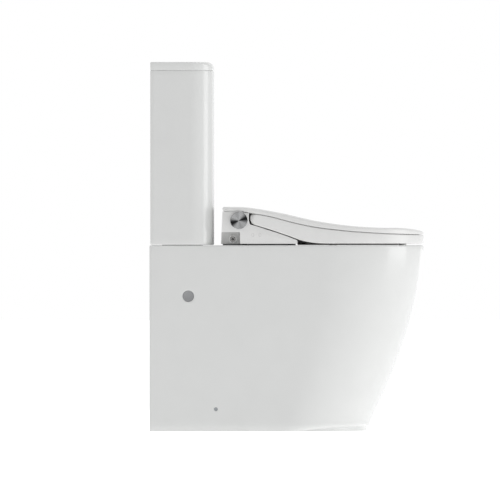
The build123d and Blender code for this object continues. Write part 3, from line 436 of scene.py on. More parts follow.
# The trap's bends, as arcs in the (Y, Z) plane: middle, start and end in degrees. The lip of the bowl's back
# and the sump share one middle. The sump's radius eases by a cosine.
LIP, LIP_R, LIP_TURN = np.array((19.0, 170.7)), 5.0, (180, 326.7)
SUMP_R, SUMP_EASE, SUMP_TURN = 96.0, 15.5, (180, 324)
WEIR, WEIR_OVER_R, WEIR_R, WEIR_TURN = np.array((132.9, 170.9)), 90.0, 14.0, (146.7, 52.7)
OUT, OUT_R, OUT_UNDER_R, OUT_TURN = np.array((225.3, 260.0)), 37.0, 113.0, (-127.3, -90)
BOWL_ROWS, SUMP_ROWS, WEIR_ROWS, OUT_ROWS = 34, 26, 22, 10


def round_spot(spot, radius, turn_deg, count):
    """Points in the (Y, Z) plane on an arc about a spot, from one angle to another."""
    turn = np.radians(np.linspace(*turn_deg, count))
    return spot + np.asarray(radius, float).reshape(-1, 1) * np.stack([np.cos(turn), np.sin(turn)], -1)


def channel(wall):
    """The water way from the bowl's rim to the outlet: its upper and lower line in the (Y, Z) plane and its
    half width. wall is 0 inside, and the china's thickness outside."""
    z = np.linspace(UNDER_DECK if wall else RIM_Z - BOWL_ROUND, LIP[1], BOWL_ROWS)
    upper = [np.stack([smooth_line(z, BOWL_BACK) + wall, z], -1)]
    lower = [np.stack([smooth_line(z, BOWL_FRONT) - wall, z], -1)]
    half = [smooth_line(z, BOWL_HALF) + wall]
    share = np.linspace(0, 1, SUMP_ROWS)
    sump = SUMP_R + SUMP_EASE * np.cos(np.pi * share) + wall
    lower.append(round_spot(LIP, sump, SUMP_TURN, SUMP_ROWS)[1:])
    if wall:
        upper[0][:, 1] = np.maximum(upper[0][:, 1], LIP[1] + wall + 4)
        upper.append(np.repeat(upper[0][-1:], SUMP_ROWS - 1, 0))
    else:
        upper.append(round_spot(LIP, LIP_R, LIP_TURN, SUMP_ROWS)[1:])
    half.append(TRAP_R + wall + (BOWL_HALF[0][1] - TRAP_R) * (1 - share[1:]) ** 1.5)
    upper.append(round_spot(WEIR, WEIR_OVER_R + wall, WEIR_TURN, WEIR_ROWS))
    lower.append(round_spot(WEIR, WEIR_R - wall, WEIR_TURN, WEIR_ROWS))
    upper.append(round_spot(OUT, OUT_R - wall, OUT_TURN, OUT_ROWS))
    lower.append(round_spot(OUT, OUT_UNDER_R + wall, OUT_TURN, OUT_ROWS))
    half.append(np.full(WEIR_ROWS + OUT_ROWS, TRAP_R + wall))
    y = np.array([258.0, 262.0, 282.0, OUTLET_Y])
    r = np.array([TRAP_R + wall, *[OUTLET_OUT_R if wall else OUTLET_IN_R] * 3])
    upper.append(np.stack([y, OUTLET_Z + r], -1))
    lower.append(np.stack([y, OUTLET_Z - r], -1))
    half.append(r)
    return np.concatenate(upper), np.concatenate(lower), np.concatenate(half)


def channel_rows(wall, turn):
    """Rings of the water way: an ellipse on each upper and lower point pair, at the columns' angles."""
    upper, lower, half = channel(wall)
    middle, lift = (upper + lower) / 2, (upper - lower) / 2
    points = np.zeros((len(half), len(turn), 3))
    points[..., 0] = half[:, None] * np.cos(turn)
    points[..., 1:] = middle[:, None] + lift[:, None] * np.sin(turn)[:, None]
    return points


def pan_outline(z, inset, corner):
    """The pan's plan at each height. The nose leans in towards the floor by a power curve, and turns under
    in a rounded foot."""
    z = np.asarray(z, float)
    lift = np.maximum(z, FOOT_Z) / RIM_Z
    under = np.clip(1 - z / FOOT_Z, 0, 1)
    nose = FOOT_NOSE + (NOSE_Y - FOOT_NOSE) * (1 - (1 - lift) ** 1.62)
    reach = 190.0 + 44.5 * lift
    tuck = 4.0 * under**2.2
    return d_outline(PAN_HALF - inset - tuck, nose + inset + 83.0 * under**3.4,
                     nose + reach + 8.0 * under, BACK_Y - inset, corner, PAN_COUNTS)


def flared_hole(side, place, radius, depth, ease):
    """A cutter along X for a hole in a side wall, with a rounded mouth: its radius grows along a quarter
    circle of radius ease at the wall's face."""
    a = quarter(7)[::-1]
    along = np.r_[PAN_HALF - depth, PAN_HALF - ease * (1 - np.cos(a)), PAN_HALF + 3]
    wide = radius + np.r_[0, ease * (1 - np.sin(a)), ease]
    return solid("hole", lathe_rings(np.stack([side * along, wide], -1), (0, *place), "X", 72))


def make_pan():
    """One closed china surface. Rows run up the outside, over the rim, down the bowl, through the trap to the
    outlet, back along the outside of both, and down the inside of the wall to the foot."""
    low = FOOT_Z * np.linspace(0, 1, 12)[:-1] ** 1.4
    wall = np.linspace(FOOT_Z, RIM_Z - RIM_ROUND, 38)
    a = quarter(8)[1:]
    z = np.r_[low, wall, RIM_Z - RIM_ROUND + RIM_ROUND * np.sin(a)]
    inset = np.r_[np.zeros(len(low) + len(wall)), RIM_ROUND * (1 - np.cos(a))]
    outside = at_height(pan_outline(z, inset, 5.0 - inset), z)
    edge = outside[-1]
    front, back, half = BOWL_FRONT[-1][1], BOWL_BACK[-1][1], BOWL_HALF[-1][1]
    middle, reach = (front + back) / 2, (back - front) / 2
    turn = np.arctan2((edge[:, 1] - middle) / reach, edge[:, 0] / half)
    a = quarter(8)
    grow = BOWL_ROUND * (1 - np.sin(a))
    ease = np.zeros((8, len(turn), 3))
    ease[..., 0] = (half + grow)[:, None] * np.cos(turn)
    ease[..., 1] = middle + (reach + grow)[:, None] * np.sin(turn)
    ease[..., 2] = (RIM_Z - BOWL_ROUND + BOWL_ROUND * np.cos(a))[:, None]
    inner = channel_rows(0, turn)[1:]
    outer = channel_rows(BOWL_WALL, turn)[::-1]
    z = np.r_[np.linspace(UNDER_DECK, FOOT_Z, 22), FOOT_Z / 2, 0.0]
    hollow = at_height(pan_outline(np.maximum(z, FOOT_Z), PAN_WALL, 3.0), z)
    pan = mesh_piece("pan_china", np.concatenate([
        outside, between(edge, ease[0], 9), ease, inner, outer, between(outer[-1], hollow[0], 7), hollow,
        between(hollow[-1], outside[0], 1)]), close_rows=True)
    in_deck, above, below = UNDER_DECK + 3, RIM_Z + 4, UNDER_DECK - 5
    boss = [(370, 50), (374, 57), (380, 58), (in_deck, 58)]
    carve(pan, [solid("boss", lathe_rings(boss, (0, VALVE_Y, 0), "Z"))], "UNION")
    carve(pan, [solid("duct", block_rings((-43, 27, 370), (43, VALVE_Y, in_deck)))], "UNION")
    recess = [(379, 36), (396, 36), (396.01, 47), (423, 47), (426, 49), (430, 49)]
    holes = [solid("window", block_rings((-PAN_HALF + PAN_WALL, BACK_Y - PAN_WALL - 1.5, -5),
                                         (PAN_HALF - PAN_WALL, BACK_Y + 5, 340))),
             solid("recess", lathe_rings(recess, (0, VALVE_Y, 0), "Z")),
             solid("fill", lathe_rings([(below, 20), (above, 20)], (*FILL, 0), "Z"))]
    for side in (-1, 1):
        holes.append(flared_hole(side, PLUG, 13.0, 17.0, 1.6))
        holes.append(flared_hole(side, BRACKET, 4.4, 7.0, 0.7))
        for x, y, r in ((BOLT_X, BOLT_Y, 6.0), (SEAT_BOLT_X, SEAT_BOLT_Y, 7.5)):
            holes.append(solid("bolt", lathe_rings([(below, r), (above, r)], (side * x, y, 0), "Z", 32)))
    carve(pan, holes)
    carve(pan, [solid("slot", block_rings((-35, -20, 380), (35, VALVE_Y, 401)))])
    return dress(pan, "vitreous_china", "pan_and_cistern", ["pan"])


# ---------------------------------------------------------------- cistern

CISTERN_LOW, CISTERN_HIGH = box_mm("cistern")
CISTERN_HALF, CISTERN_FRONT, CISTERN_BACK = CISTERN_HIGH[0], CISTERN_LOW[1], CISTERN_HIGH[1]
CISTERN_Z, SEAM_Z = CISTERN_LOW[2], CISTERN_HIGH[2]
LID_TOP = box_mm("cistern_lid")[1][2]
CISTERN_WALL, CISTERN_FLOOR = 9.0, 12.0
BACK_CORNER, FRONT_CORNER, BOW = 8.0, 52.0, 3.0
CISTERN_ROUND, CISTERN_BEND = 2.5, 9.0    # rounds of the outer edges and of the inner corners
BUTTON_HOLE, BEZEL_SEAT = 26.5, 31.5      # radii
EDGE_BACK, EDGE_MORE = 2.6, 11.0          # round of the lid's edge at the back, and how much more in front


def cistern_outline(inset):
    """The cistern's plan drawn in by each inset: flat back, round corners, straight sides and a front that
    bows out by a parabola."""
    (inset,) = tall(inset)
    half, back, front = CISTERN_HALF - inset, CISTERN_BACK - inset, CISTERN_FRONT + inset
    rear, fore = np.maximum(BACK_CORNER - inset, 1.0), np.maximum(FRONT_CORNER - inset, 6.0)
    t, s = np.linspace(0, 1, 22, endpoint=False), np.linspace(0, 1, 14, endpoint=False)
    b, f = quarter(9)[:-1], quarter(21)[:-1]
    bow_x = (half - fore) * (1 - np.r_[t, 1])
    bow_y = front + BOW * (bow_x / half) ** 2
    fore_y = bow_y[:, :1] + fore
    x = np.hstack([(half - rear) * t, half - rear + rear * np.sin(b), half + 0 * s,
                   half - fore + fore * np.cos(f), bow_x])
    y = np.hstack([back + 0 * t, back - rear + rear * np.cos(b), back - rear + (fore_y - back + rear) * s,
                   fore_y - fore * np.sin(f), bow_y])
    return np.stack([np.hstack([x, -x[:, -2:0:-1]]), np.hstack([y, y[:, -2:0:-1]])], -1)


def cistern_rows(z, inset):
    """Rings of the cistern's plan at heights."""
    return at_height(cistern_outline(inset), z)


def make_cistern():
    """An open china box: outside with softly rounded edges, then over the rim and down inside, with a large
    round where its walls meet its floor."""
    low, top, r, bend = CISTERN_Z, SEAM_Z, CISTERN_ROUND, CISTERN_BEND
    floor = low + CISTERN_FLOOR
    a = quarter(6)
    z = np.r_[low + r - r * np.cos(a), np.linspace(low + 12, top - 12, 14), top - r + r * np.sin(a)]
    inset = np.r_[r * (1 - np.sin(a)), np.zeros(14), r * (1 - np.cos(a))]
    outside = cistern_rows(z, inset)
    z = np.r_[top - r + r * np.cos(a), np.linspace(top - 12, floor + bend + 4, 12),
              floor + bend - bend * np.sin(a)]
    inset = CISTERN_WALL + np.r_[-r * np.sin(a), np.zeros(12), bend * (1 - np.cos(a))]
    cistern = solid("cistern_china", np.concatenate([outside, cistern_rows(z, inset)]))
    carve(cistern, [solid("hole", lathe_rings([(low - 3, radius), (floor + 3, radius)], (x, y, 0), "Z"))
                    for x, y, radius in ((0, VALVE_Y, 31), (*FILL, 11.5), (BOLT_X, BOLT_Y, 5.5),
                                         (-BOLT_X, BOLT_Y, 5.5))])
    return dress(cistern, "vitreous_china", "pan_and_cistern", ["cistern"])


def make_cistern_lid():
    """China lid round its button hole: its top edge is a small round that widens towards the front, and its
    underside has a lip that drops into the cistern."""
    base, top, hole, recess = SEAM_Z, LID_TOP, BUTTON_HOLE, BEZEL_SEAT
    a = quarter(12)
    outline = cistern_rows(base, 0)[0]
    per_mm = (cistern_outline(10.0)[0] - outline[:, :2]) / 10
    near_front = np.clip((CISTERN_FRONT + 44 - outline[:, 1]) / 40, 0, 1)
    wide = EDGE_BACK + EDGE_MORE * near_front**1.5
    turn = np.arctan2(outline[:, 1] - VALVE_Y, outline[:, 0])

    def hole_rows(profile):
        """Rings round the button hole."""
        radius, z = np.array(profile, float).T
        plan = np.stack([np.cos(turn), np.sin(turn)], -1) * radius[:, None, None] + (0, VALVE_Y)
        return at_height(plan, z)

    plan = outline[:, :2] + per_mm * (wide * (1 - np.sin(a))[:, None])[..., None]
    edge = at_height(plan, top - wide * (1 - np.cos(a))[:, None])
    b = quarter(5)
    foot = cistern_rows(base + 1.5 - 1.5 * np.sin(b), 1.5 * (1 - np.cos(b)))
    lip = cistern_rows([base, base - 6.5, base - 8, base - 8, top - 9], [11, 11, 12, 17, 17])
    mouth = hole_rows([(hole, top - 9), (hole, top - 2.2), (recess, top - 2.2), (recess, top - 0.8),
                       (recess + 0.3, top - 0.2), (recess + 1, top)])
    top_face, under_face = between(mouth[-1], edge[0], 10), between(lip[-1], mouth[0], 6)
    lid = mesh_piece("cistern_lid_china", np.concatenate([mouth, top_face, edge, foot, lip, under_face]),
                     close_rows=True)
    return dress(lid, "vitreous_china", "pan_and_cistern", ["cistern_lid"])


# ---------------------------------------------------------------- seat ring and lid

LID_LOW, LID_HIGH = box_mm("seat_lid")
LID_HALF, LID_NOSE, LID_BACK = LID_HIGH[0], LID_LOW[1], LID_HIGH[1]
RING_LOW, RING_HIGH = box_mm("seat_ring")
RING_HALF, RING_NOSE, RING_BACK = RING_HIGH[0], RING_LOW[1], RING_HIGH[1]
SEAT_COUNTS = (16, 6, 30, 54)
SHOULDER_Y = -80.0
# Lines of the seat along Y: the seam between lid and ring, the lid's top and the ring's underside.
SEAM = [(110, 503.8), (84.6, 499.7), (39, 491.7), (-7, 479.6), (-53, 469.5), (-121, 460.4), (-213, 453.5),
        (-320, 450)]
LID_LINE = [(148, 514), (125, 514), (105, 513.9), (62, 508.8), (16, 500.5), (-66, 482.2), (-121, 473.4),
            (-213, 466.3), (-262, 465.6), (-292, 462.6), (-316, 457.2)]
RING_UNDER = [(-320, 429.7), (-120, 429.7), (-90, 429.75), (-66, 430.9), (-39, 435.3), (0, 448.7),
              (39, 461.9), (75.5, 472.9), (90, 476.9)]
SEAM_FLAT_Y, SEAM_FLAT_Z = 110, 503.8     # behind this line the seam runs level
LID_SKIN, LID_CROWN, LID_EDGE, LID_FOOT = 3.5, 1.1, 5.0, 1.2
HINGE_NOTCH = (96.4, 127.6)               # inner and outer X of the lid's hinge notches
HORN_IN, HEEL_Y = 143.0, 87.5             # inner face of the body's horns, and the ring's back edge there
POD_IN, POD_OUT = 40.0, 48.0              # half width of the cover over the nozzles, with its clearance
RING_LIP_Z, RING_FALL, RING_GAP = 426.7, 5.5, 0.6
HOLE_FRONT, HOLE_MIDDLE, HOLE_BACK, HOLE_HALF = -250.0, -110.0, 18.0, 108.0


def seat_outline(half, nose, back, inset, corner=6.0):
    """The plan shared by ring and lid, drawn in by each inset."""
    (inset,) = tall(inset)
    inset = inset[:, 0]
    return d_outline(half - inset, nose + inset, SHOULDER_Y, back - inset, np.maximum(corner - inset, 0.5),
                     SEAT_COUNTS)


def lid_plan(inset):
    """The lid's plan drawn in by each inset."""
    return seat_outline(LID_HALF, LID_NOSE, LID_BACK, inset)


def lid_top(plan):
    """Height of the lid's top: a smooth curve along Y, less a parabola across."""
    return smooth_line(plan[..., 1], LID_LINE) - LID_CROWN * (plan[..., 0] / LID_HALF) ** 2


def lid_seam(plan):
    """Height of the lid's foot, a little above the seam's line."""
    y = plan[..., 1]
    return np.where(y > SEAM_FLAT_Y, SEAM_FLAT_Z, smooth_line(y, SEAM)) + RING_GAP


def drawn_in(plan, shares):
    """Copies of a plan drawn towards the middle."""
    middle = np.array((0.0, -60.0))
    return middle + (plan - middle)[None] * np.asarray(shares)[:, None, None]


def make_seat_lid():
    """Slim lid: from the pole on top out to a rounded edge, down the skirt to a thin foot, and back under the
    skin. Its top line is a smooth curve along Y, crowned a little across."""
    a, b = quarter(9), quarter(7)
    shares = [0.02, 0.1, 0.22, 0.34, 0.46, 0.58, 0.69, 0.79, 0.87, 0.93, 0.97]
    inside = drawn_in(lid_plan(LID_EDGE)[0], shares)
    rows = [at_height(inside, lid_top(inside))]
    plan = lid_plan(LID_EDGE * (1 - np.sin(a)))
    rows.append(at_height(plan, lid_top(plan) - (LID_EDGE * (1 - np.cos(a)))[:, None]))
    back_share = np.clip((plan[:1, :, 1] - 128) / 14, 0, 1)   # the foot is thicker along the back
    plan = lid_plan(LID_FOOT * (1 - np.cos(b)))
    plan[..., 1] -= back_share * (4.2 - LID_FOOT) * (1 - np.cos(b))[:, None] * (plan[..., 1] > 138)
    down = LID_FOOT + back_share * 3.0
    rows.append(at_height(plan, lid_seam(plan) + down * (1 - np.sin(b))[:, None]))
    plan = lid_plan([3.4, 4.0, 4.3, 6.0, 8.5, 8.8, 9.2, 10.4, 10.8, 11.1, 12.5])
    plan[..., 1] = np.minimum(plan[..., 1], 131.0)
    under, line = lid_top(plan) - LID_SKIN, lid_seam(plan)
    rib = np.clip((112 - plan[:, :, 1]) / 8, 0, 1)   # a low rib that shuts the seam, short of the hinge
    tip = (line - 1.05) * rib + under * (1 - rib)
    root = (line - 0.5) * rib + under * (1 - rib)
    rows.append(at_height(plan, np.stack([line[0], line[1] + 0.8, under[2] - 1.6, under[3], under[4], root[5],
                                          tip[6], tip[7], root[8], under[9], under[10]])))
    inside = drawn_in(plan[-1], [0.93, 0.83, 0.7, 0.52, 0.34, 0.18, 0.05])
    rows.append(at_height(inside, lid_top(inside) - LID_SKIN))
    lid = solid("seat_lid_shell", np.concatenate(rows))
    cuts = []
    for side in (-1, 1):
        low, high = sorted(side * x for x in HINGE_NOTCH)
        cuts.append(solid("notch", block_rings((low, 130.0, 498.0), (high, 155.0, 520.0))))
    carve(lid, cuts)
    return dress(lid, "seat_plastic", "lid", ["seat_lid"])


def make_seat_ring():
    """Seat ring: each column is a closed section, from the outer foot up its side, over a round to the top,
    which falls away towards the hole, round the hole's edge and back along the underside."""
    plan = seat_outline(RING_HALF, RING_NOSE, RING_BACK, 0.0, 9.0)[0]
    heel = np.clip((plan[:, 1] - 66) / 14, 0, 1) ** 1.5
    between_horns = np.clip((HORN_IN - np.abs(plan[:, 0])) / 4, 0, 1) * (plan[:, 1] > 60)
    plan[:, 1] += (HEEL_Y - RING_BACK) * between_horns
    turn = np.arctan2(plan[:, 1] - HOLE_MIDDLE, plan[:, 0] * 1.25)
    reach = np.where(np.sin(turn) > 0, HOLE_BACK - HOLE_MIDDLE, HOLE_MIDDLE - HOLE_FRONT)
    hole = np.stack([HOLE_HALF * np.cos(turn), HOLE_MIDDLE + reach * np.sin(turn)], -1)
    width = np.linalg.norm(hole - plan, axis=1)
    inward = (hole - plan) / width[:, None]

    def top(spot):
        """The top's line before it falls away."""
        return smooth_line(spot[:, 1], SEAM) - RING_GAP

    def underside(spot):
        """The underside, which hangs lower between the horns of the body, and less over its nozzles."""
        x, y = np.abs(spot[:, 0]), spot[:, 1]
        over_pod = np.clip((POD_OUT - x) / (POD_OUT - POD_IN), 0, 1)
        hang = np.interp(y, (-80, -66, -50, 36, 46), (0, 0.4, 2.6, 2.6, 1.7))
        hang = np.minimum(hang, 2.6 - 0.9 * over_pod)
        return smooth_line(y, RING_UNDER) - hang * np.clip((HORN_IN - x) / 3, 0, 1)

    def lip(spot):
        """The foot of the lip round the hole, which hangs over the bowl and fades out towards the back."""
        share = np.clip((-16 - spot[:, 1]) / 10, 0, 1)
        return underside(spot) * (1 - share) + RING_LIP_Z * share

    rows = []

    def row(distance, line, lift=0.0):
        """A row of points at a distance in from the outline, on a line or lifted from it."""
        spot = plan + inward * distance[:, None]
        rows.append(np.hstack([spot, (line(spot) + lift)[:, None]]))

    # Widths and heights of the outer rounds: on the sides, how much more at the heel, and between the horns.
    out_wide, out_tall, low_wide, low_tall = (
        (side + more * heel) * (1 - between_horns) + horns * between_horns
        for side, more, horns in ((3.0, 7.2, 3.0), (3.0, 8.0, 3.0), (2.5, 6.2, 6.0), (2.5, 11.0, 12.0)))
    a = quarter(8)
    for share in a[1:]:   # the lower outer round, from the underside out to the side
        row(low_wide * (1 - np.sin(share)), underside, low_tall * (1 - np.cos(share)))
    for share in a:   # the upper outer round, from the side in to the top
        row(out_wide * (1 - np.cos(share)), top, -out_tall * (1 - np.sin(share)))
    for share in np.linspace(0.12, 1, 12):   # the top, which falls away towards the hole
        row(out_wide + (width - 4.0 - out_wide) * share, top, -RING_FALL * share**2.6)
    for share in a[1:]:   # the upper edge of the hole
        row(width - 4.0 + 4.0 * np.sin(share), top, -RING_FALL - 4.0 * (1 - np.cos(share)))
    for share in a:   # the lower edge of the hole
        row(width - 3.0 * (1 - np.cos(share)), lip, 3.0 * (1 - np.sin(share)))
    row(width - 6.0, lip)
    rise = (width - 7.5 - low_wide) * 0.97 + low_wide
    row(rise, underside)
    step = np.clip(39.6, low_wide, rise - 1)
    for share in np.linspace(0.2, 1, 5):   # the underside, from the lip to the horns' edge
        row(rise + (step - rise) * share, underside)
    for distance in (38.2, 36.8, *(36.0 + (low_wide - 36.0) * share for share in np.linspace(0.25, 1, 4))):
        row(np.clip(distance, low_wide, rise - 1), underside)   # over the horns
    ring = mesh_piece("seat_ring_shell", np.stack(rows), close_rows=True)
    return dress(ring, "seat_plastic", "seat", ["seat_ring"])


# ---------------------------------------------------------------- wash seat body and small parts

BODY_HALF = box_mm("seat_body_cover")[1][0]
BODY_FOOT_Z, BODY_SKIRT = 430.05, 0.8     # the body's foot is carried down to the feet's level
FOOT_X, FOOT_YS, FOOT_R = 166.0, (-8.0, 97.0), 6.0
RECESS_LOW, RECESS_HIGH = (108.3, 429.4), (149.6, 455.4)   # the side recess, as Y and Z
THREAD_PITCH = 1.337
SPIN_PITCH = 0.66                          # rings of the spun disc, drawn wide enough to show


def values_of(items, key, wide=1, kind=float):
    """One value of every item of a mesh, as an array."""
    values = np.zeros(len(items) * wide, kind)
    items.foreach_get(key, values)
    return values


def centre_mm(node):
    """A CAD node's box in millimetres, the middle of its Y and Z, and half its depth."""
    low, high = box_mm(node)
    return low, high, (low[1] + high[1]) / 2, (low[2] + high[2]) / 2, (high[1] - low[1]) / 2


def make_plugs():
    """Soft plugs pressed in the side holes: a dished face inside a raised bead."""
    profile = [(169.5, 0.5), (169.5, 16), (172.4, 16), (172.4, 12.9), (180.0, 12.9), (181.0, 11.6),
               (181.0, 9.4), (179.9, 8.2), (179.6, 0.5)]
    sides = [turned("plug", [(side * x, r) for x, r in profile], (0, *PLUG), "X", 0.5) for side in (-1, 1)]
    return dress(joined("access_plug_pair", sides), "grey_rubber", "pan_and_cistern", ["access_plugs"], 50)


def make_inlet():
    """White collar and metal nipple of the wash water inlet."""
    low, high, y, z, r = centre_mm("inlet_collar")
    face, back = low[0], high[0]
    profile = [(back, 0.5), (back, r), (face, r), (face, 6.3), (face + 1, 6.1), (face + 1, 0.5)]
    dress(turned("collar", profile, (0, y, z), "X", 0.6), "seat_plastic", "pan_and_cistern",
          ["inlet_collar"], 50)
    low, high, y, z, r = centre_mm("inlet_nipple")
    face, back = low[0], high[0]
    thread = [(crest + step * THREAD_PITCH, r - dip)
              for crest in np.arange(face + 1.4, face + 9.4, THREAD_PITCH)
              for step, dip in ((0, 0), (0.35, 0), (0.6, 0.75), (0.8, 0.75))]
    profile = [(back - 1, 0.4), (back - 1, 2.6), (face + 0.8, 2.6), (face, 3.4), (face, r - 0.9),
               (face + 0.7, r - 0.2), *thread, (face + 10, r - 0.1), (face + 10, 6.0), (back, 6.0),
               (back, 0.4)]
    nipple = turned("inlet_nipple_thread", profile, (0, y, z), "X", 0.15)
    dress(nipple, "nickel_plated_brass", "pan_and_cistern", ["inlet_nipple"], 40)


def make_feet():
    """Round rubber feet under the wash seat, and the thin sealing strips that run between them."""
    feet, strips = [], []
    low, high = box_mm("seat_body_feet")
    for side in (-1, 1):
        for y in FOOT_YS:
            profile = [(low[2], 0.5), (low[2], FOOT_R), (high[2], FOOT_R), (high[2], 0.5)]
            feet.append(turned("foot", profile, (side * FOOT_X, y, 0), "Z", 0.6, 40))
        near, far = sorted((side * 151.0, side * 154.0))
        strips.append(solid("strip", block_rings((near, -20.0, low[2] + 0.1), (far, 147.0, high[2] - 0.05))))
    dress(joined("seat_feet_round", feet), "black_rubber", "pan_and_cistern", ["seat_body_feet"], 40)
    dress(joined("seat_base_seals", strips), "grey_rubber", "pan_and_cistern", [], 40)


def make_recess_shade_pad():
    """Thin grey pad on the inner wall of the recess round the water inlet, with a hole for the collar. Its
    grey is painted shade that darkens the recess.
    """
    _, high, y, z, _ = centre_mm("inlet_collar")
    wall = high[0]
    pad = solid("recess_shade_pad", block_rings((wall - 0.5, *RECESS_LOW), (wall + 0.2, *RECESS_HIGH)))
    carve(pad, [solid("hole", lathe_rings([(wall - 2, 8.6), (wall + 2, 8.6)], (0, y, z), "X"))])
    return dress(pad, "soft_rubber", "pan_and_cistern", [], 40)


def ring_mark(y, z, wide, tall, thick, out):
    """A thin oval line on the body's side, out from the face by out: four ellipses, two a step."""
    turn = np.linspace(0, FULL_TURN, 40, endpoint=False)
    inset, lift = np.array([(0, out - 0.3), (0, out), (thick, out), (thick, out - 0.3)]).T[..., None]
    points = np.zeros((4, 40, 3))
    points[..., 0] = -BODY_HALF - lift
    points[..., 1] = y + (wide - inset) * np.cos(turn)
    points[..., 2] = z + (tall - inset) * np.sin(turn)
    return mesh_piece("mark", points, close_rows=True)


def make_marks():
    """Two small pale signs beside the knob, one for each spray: an oval seat with a short bar of spray."""
    parts = []
    for y, shift in ((78.0, -1.2), (62.0, 1.2)):
        parts.append(ring_mark(y, 449.5, 3.0, 4.2, 0.55, 0.06))
        for lift in (-1.6, 0.0, 1.6):
            low = (-BODY_HALF - 0.06, y + shift - 0.3, 448.4 + lift)
            high = (-BODY_HALF + 0.24, y + shift + 0.3, 449.4 + lift)
            parts.append(solid("bar", block_rings(low, high)))
    return dress(joined("control_marks", parts), "soft_rubber", "pan_and_cistern", [], 40)


def make_side_screws():
    """The low side screws, with a cross recess in each head."""
    screws = rounded("side_screws_crossed", "bracket_side_screws", 0.25)
    face = box_mm("bracket_side_screws")[1][0]
    y, z = BRACKET
    for wide, tall in ((0.75, 2.5), (2.5, 0.75)):
        cuts = []
        for side in (-1, 1):
            near, far = sorted((side * (face - 2.2), side * (face + 1)))
            cuts.append(solid("cross", block_rings((near, y - wide, z - tall), (far, y + wide, z + tall))))
        carve(screws, cuts)
    return dress(screws, "zinc_plated_steel", "pan_and_cistern", ["bracket_side_screws"])


def make_knob_cap():
    """Spun metal disc: a shallow cone inside a rounded edge, with fine rings. Its own map gives the turn
    round the disc, which the metal's grain and its painted reflection fans follow."""
    low, high, y, z, r = centre_mm("knob_cap")
    rounds = 60
    radius = np.r_[np.linspace(0.02, r - 1.0, rounds), r - 0.5, r - 0.15, r]
    dish = 0.35 * (1 - radius / r) + 0.02 * np.cos(radius * FULL_TURN / SPIN_PITCH) * (radius < r - 1.2)
    edge = np.r_[np.zeros(rounds), 0.05, 0.2, 0.6]
    front = np.stack([low[0] + dish + edge, radius], -1)
    cap = mesh_piece("knob_cap_disc",
                     lathe_rings([*front, (high[0], r), (high[0], 0.02)], (0, y, z), "X", 144))
    corner = values_of(cap.data.loops, "vertex_index", kind=int)
    place = values_of(cap.data.vertices, "co", 3).reshape(-1, 3)[corner] / MM - (0, y, z)
    turn = np.arctan2(place[:, 2], place[:, 1]) / FULL_TURN
    start = values_of(cap.data.polygons, "loop_start", kind=int)
    first = np.repeat(turn[start], values_of(cap.data.polygons, "loop_total", kind=int))
    turn = turn - np.round(turn - first)   # a face's corners stay on one side of the map's seam
    spot = np.stack([turn, np.hypot(place[:, 1], place[:, 2]) / r], -1)
    cap.data.uv_layers.new(name="turning").data.foreach_set("uv", spot.astype(np.float32).ravel())
    dress(cap, "spun_metal", "knob", ["knob_cap"], 40)


make_pan()
make_cistern()
make_cistern_lid()
make_seat_lid()
make_seat_ring()
dress(rounded("seat_body_shell", "seat_body_cover", 1.3, BODY_FOOT_Z, BODY_SKIRT), "seat_plastic",
      "pan_and_cistern", ["seat_body_cover"])
make_feet()
make_marks()
# The grey pad in the inlet recess is painted shade.
make_recess_shade_pad()
make_side_screws()
for name, node, width, slot, body in (
        ("button_bezel_round", "button_bezel", 0.4, "chromed_plastic", "pan_and_cistern"),
        ("full_button_round", "full_flush_button", 0.4, "chromed_plastic", "full_button"),
        ("half_button_round", "half_flush_button", 0.4, "chromed_plastic", "half_button"),
        ("knob_round", "control_knob", 0.4, "chromed_plastic", "knob"),
        ("seat_arms_pair", "seat_hinge_arms", 0.8, "seat_plastic", "seat"),
        ("seat_posts_pair", "seat_hinge_posts", 0.8, "seat_plastic", "pan_and_cistern")):
    dress(rounded(name, node, width), slot, body, [node])
make_plugs()
make_inlet()
make_knob_cap()

# ---------------------------------------------------------------- floor, light and camera

WORLD_LIGHT = 0.44
FLOOR_GLOW, FLOOR_SEEN = 0.43, 0.85       # the floor's own light, and how bright it looks
FLOOR_HALF = 60.0
TOP_WATTS, FRONT_WATTS, FAR_WATTS = 24.0, 38.0, 22.0
VIEW_HEIGHT = 1.1435                       # metres of the object's plane that the square frame covers
VIEW_Y, VIEW_Z = 0.0846, 0.4151            # the middle of the view
LENS_MM, SENSOR_MM = 1200.0, 36.0


def look_at(obj, spot):
    """Turns a light or camera towards a spot."""
    obj.rotation_euler = (Vector(spot) - obj.location).to_track_quat("-Z", "Y").to_euler()


def area_light(name, place, spot, size, watts):
    """A square soft box at place, facing spot."""
    data = bpy.data.lights.new(name, "AREA")
    data.size, data.energy = size, watts
    made = bpy.data.objects.new(name, data)
    made.location = place
    made.visible_camera = False
    bpy.context.scene.collection.objects.link(made)
    look_at(made, spot)


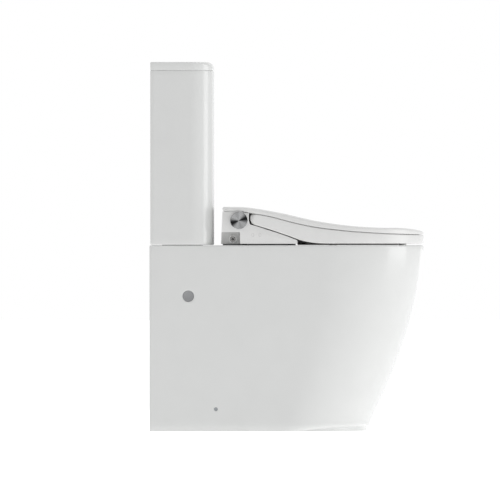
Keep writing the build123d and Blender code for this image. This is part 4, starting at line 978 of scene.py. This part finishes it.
def studio():
    """A pale floor, a white room and soft boxes above, in front and to the side."""
    half = FLOOR_HALF
    data = bpy.data.meshes.new("studio_floor")
    corners = [(-half, -half, 0), (half, -half, 0), (half, half, 0), (-half, half, 0)]
    data.from_pydata(corners, [], [(0, 1, 2, 3)])
    floor = bpy.data.objects.new("studio_floor", data)
    bpy.context.scene.collection.objects.link(floor)
    paint, tree, place = blank("studio_floor_paint")
    seen = add(tree, "LightPath").outputs["Is Camera Ray"]
    glow = add(tree, "MapRange", i0=seen, i3=FLOOR_GLOW, i4=FLOOR_SEEN).outputs["Result"]
    colour, _ = clouded(tree, place, 400, "F7F7F7", "F5F5F5", 2.0)
    data.materials.append(finished(paint, Base_Color=colour, Roughness=0.8, Emission_Color=(1, 1, 1, 1),
                                   Emission_Strength=glow))
    world = bpy.data.worlds.new("studio")
    bpy.context.scene.world = world
    world.use_nodes = True
    tree = world.node_tree
    tree.nodes.clear()
    seen = add(tree, "LightPath").outputs["Is Camera Ray"]
    strength = add(tree, "MapRange", i0=seen, i3=WORLD_LIGHT, i4=1.0).outputs["Result"]
    sky = add(tree, "Background", Color=(1, 1, 1, 1), Strength=strength)
    add(tree, "OutputWorld", Surface=sky.outputs["Background"])
    area_light("top_box", (0.3, 0.0, 3.2), (0, 0, 0.3), 3.0, TOP_WATTS)
    area_light("front_box", (-0.6, -4.5, 1.2), (0, 0, 0.45), 2.4, FRONT_WATTS)
    area_light("far_box", (4.0, -1.2, 1.4), (0, 0, 0.45), 4.0, FAR_WATTS)


def camera():
    """A long lens looking along +X at the right-hand side, level with the middle of the object."""
    data = bpy.data.cameras.new("side_camera")
    data.lens, data.sensor_width = LENS_MM, SENSOR_MM
    made = bpy.data.objects.new("side_camera", data)
    distance = VIEW_HEIGHT * LENS_MM / SENSOR_MM
    middle = (cad_low[0] + 0.01, VIEW_Y, VIEW_Z)
    made.location = (middle[0] - distance, VIEW_Y, VIEW_Z)
    data.clip_end = 100
    bpy.context.scene.collection.objects.link(made)
    look_at(made, middle)
    bpy.context.scene.camera = made


studio()
camera()
bpy.context.scene.view_settings.view_transform = "Standard"
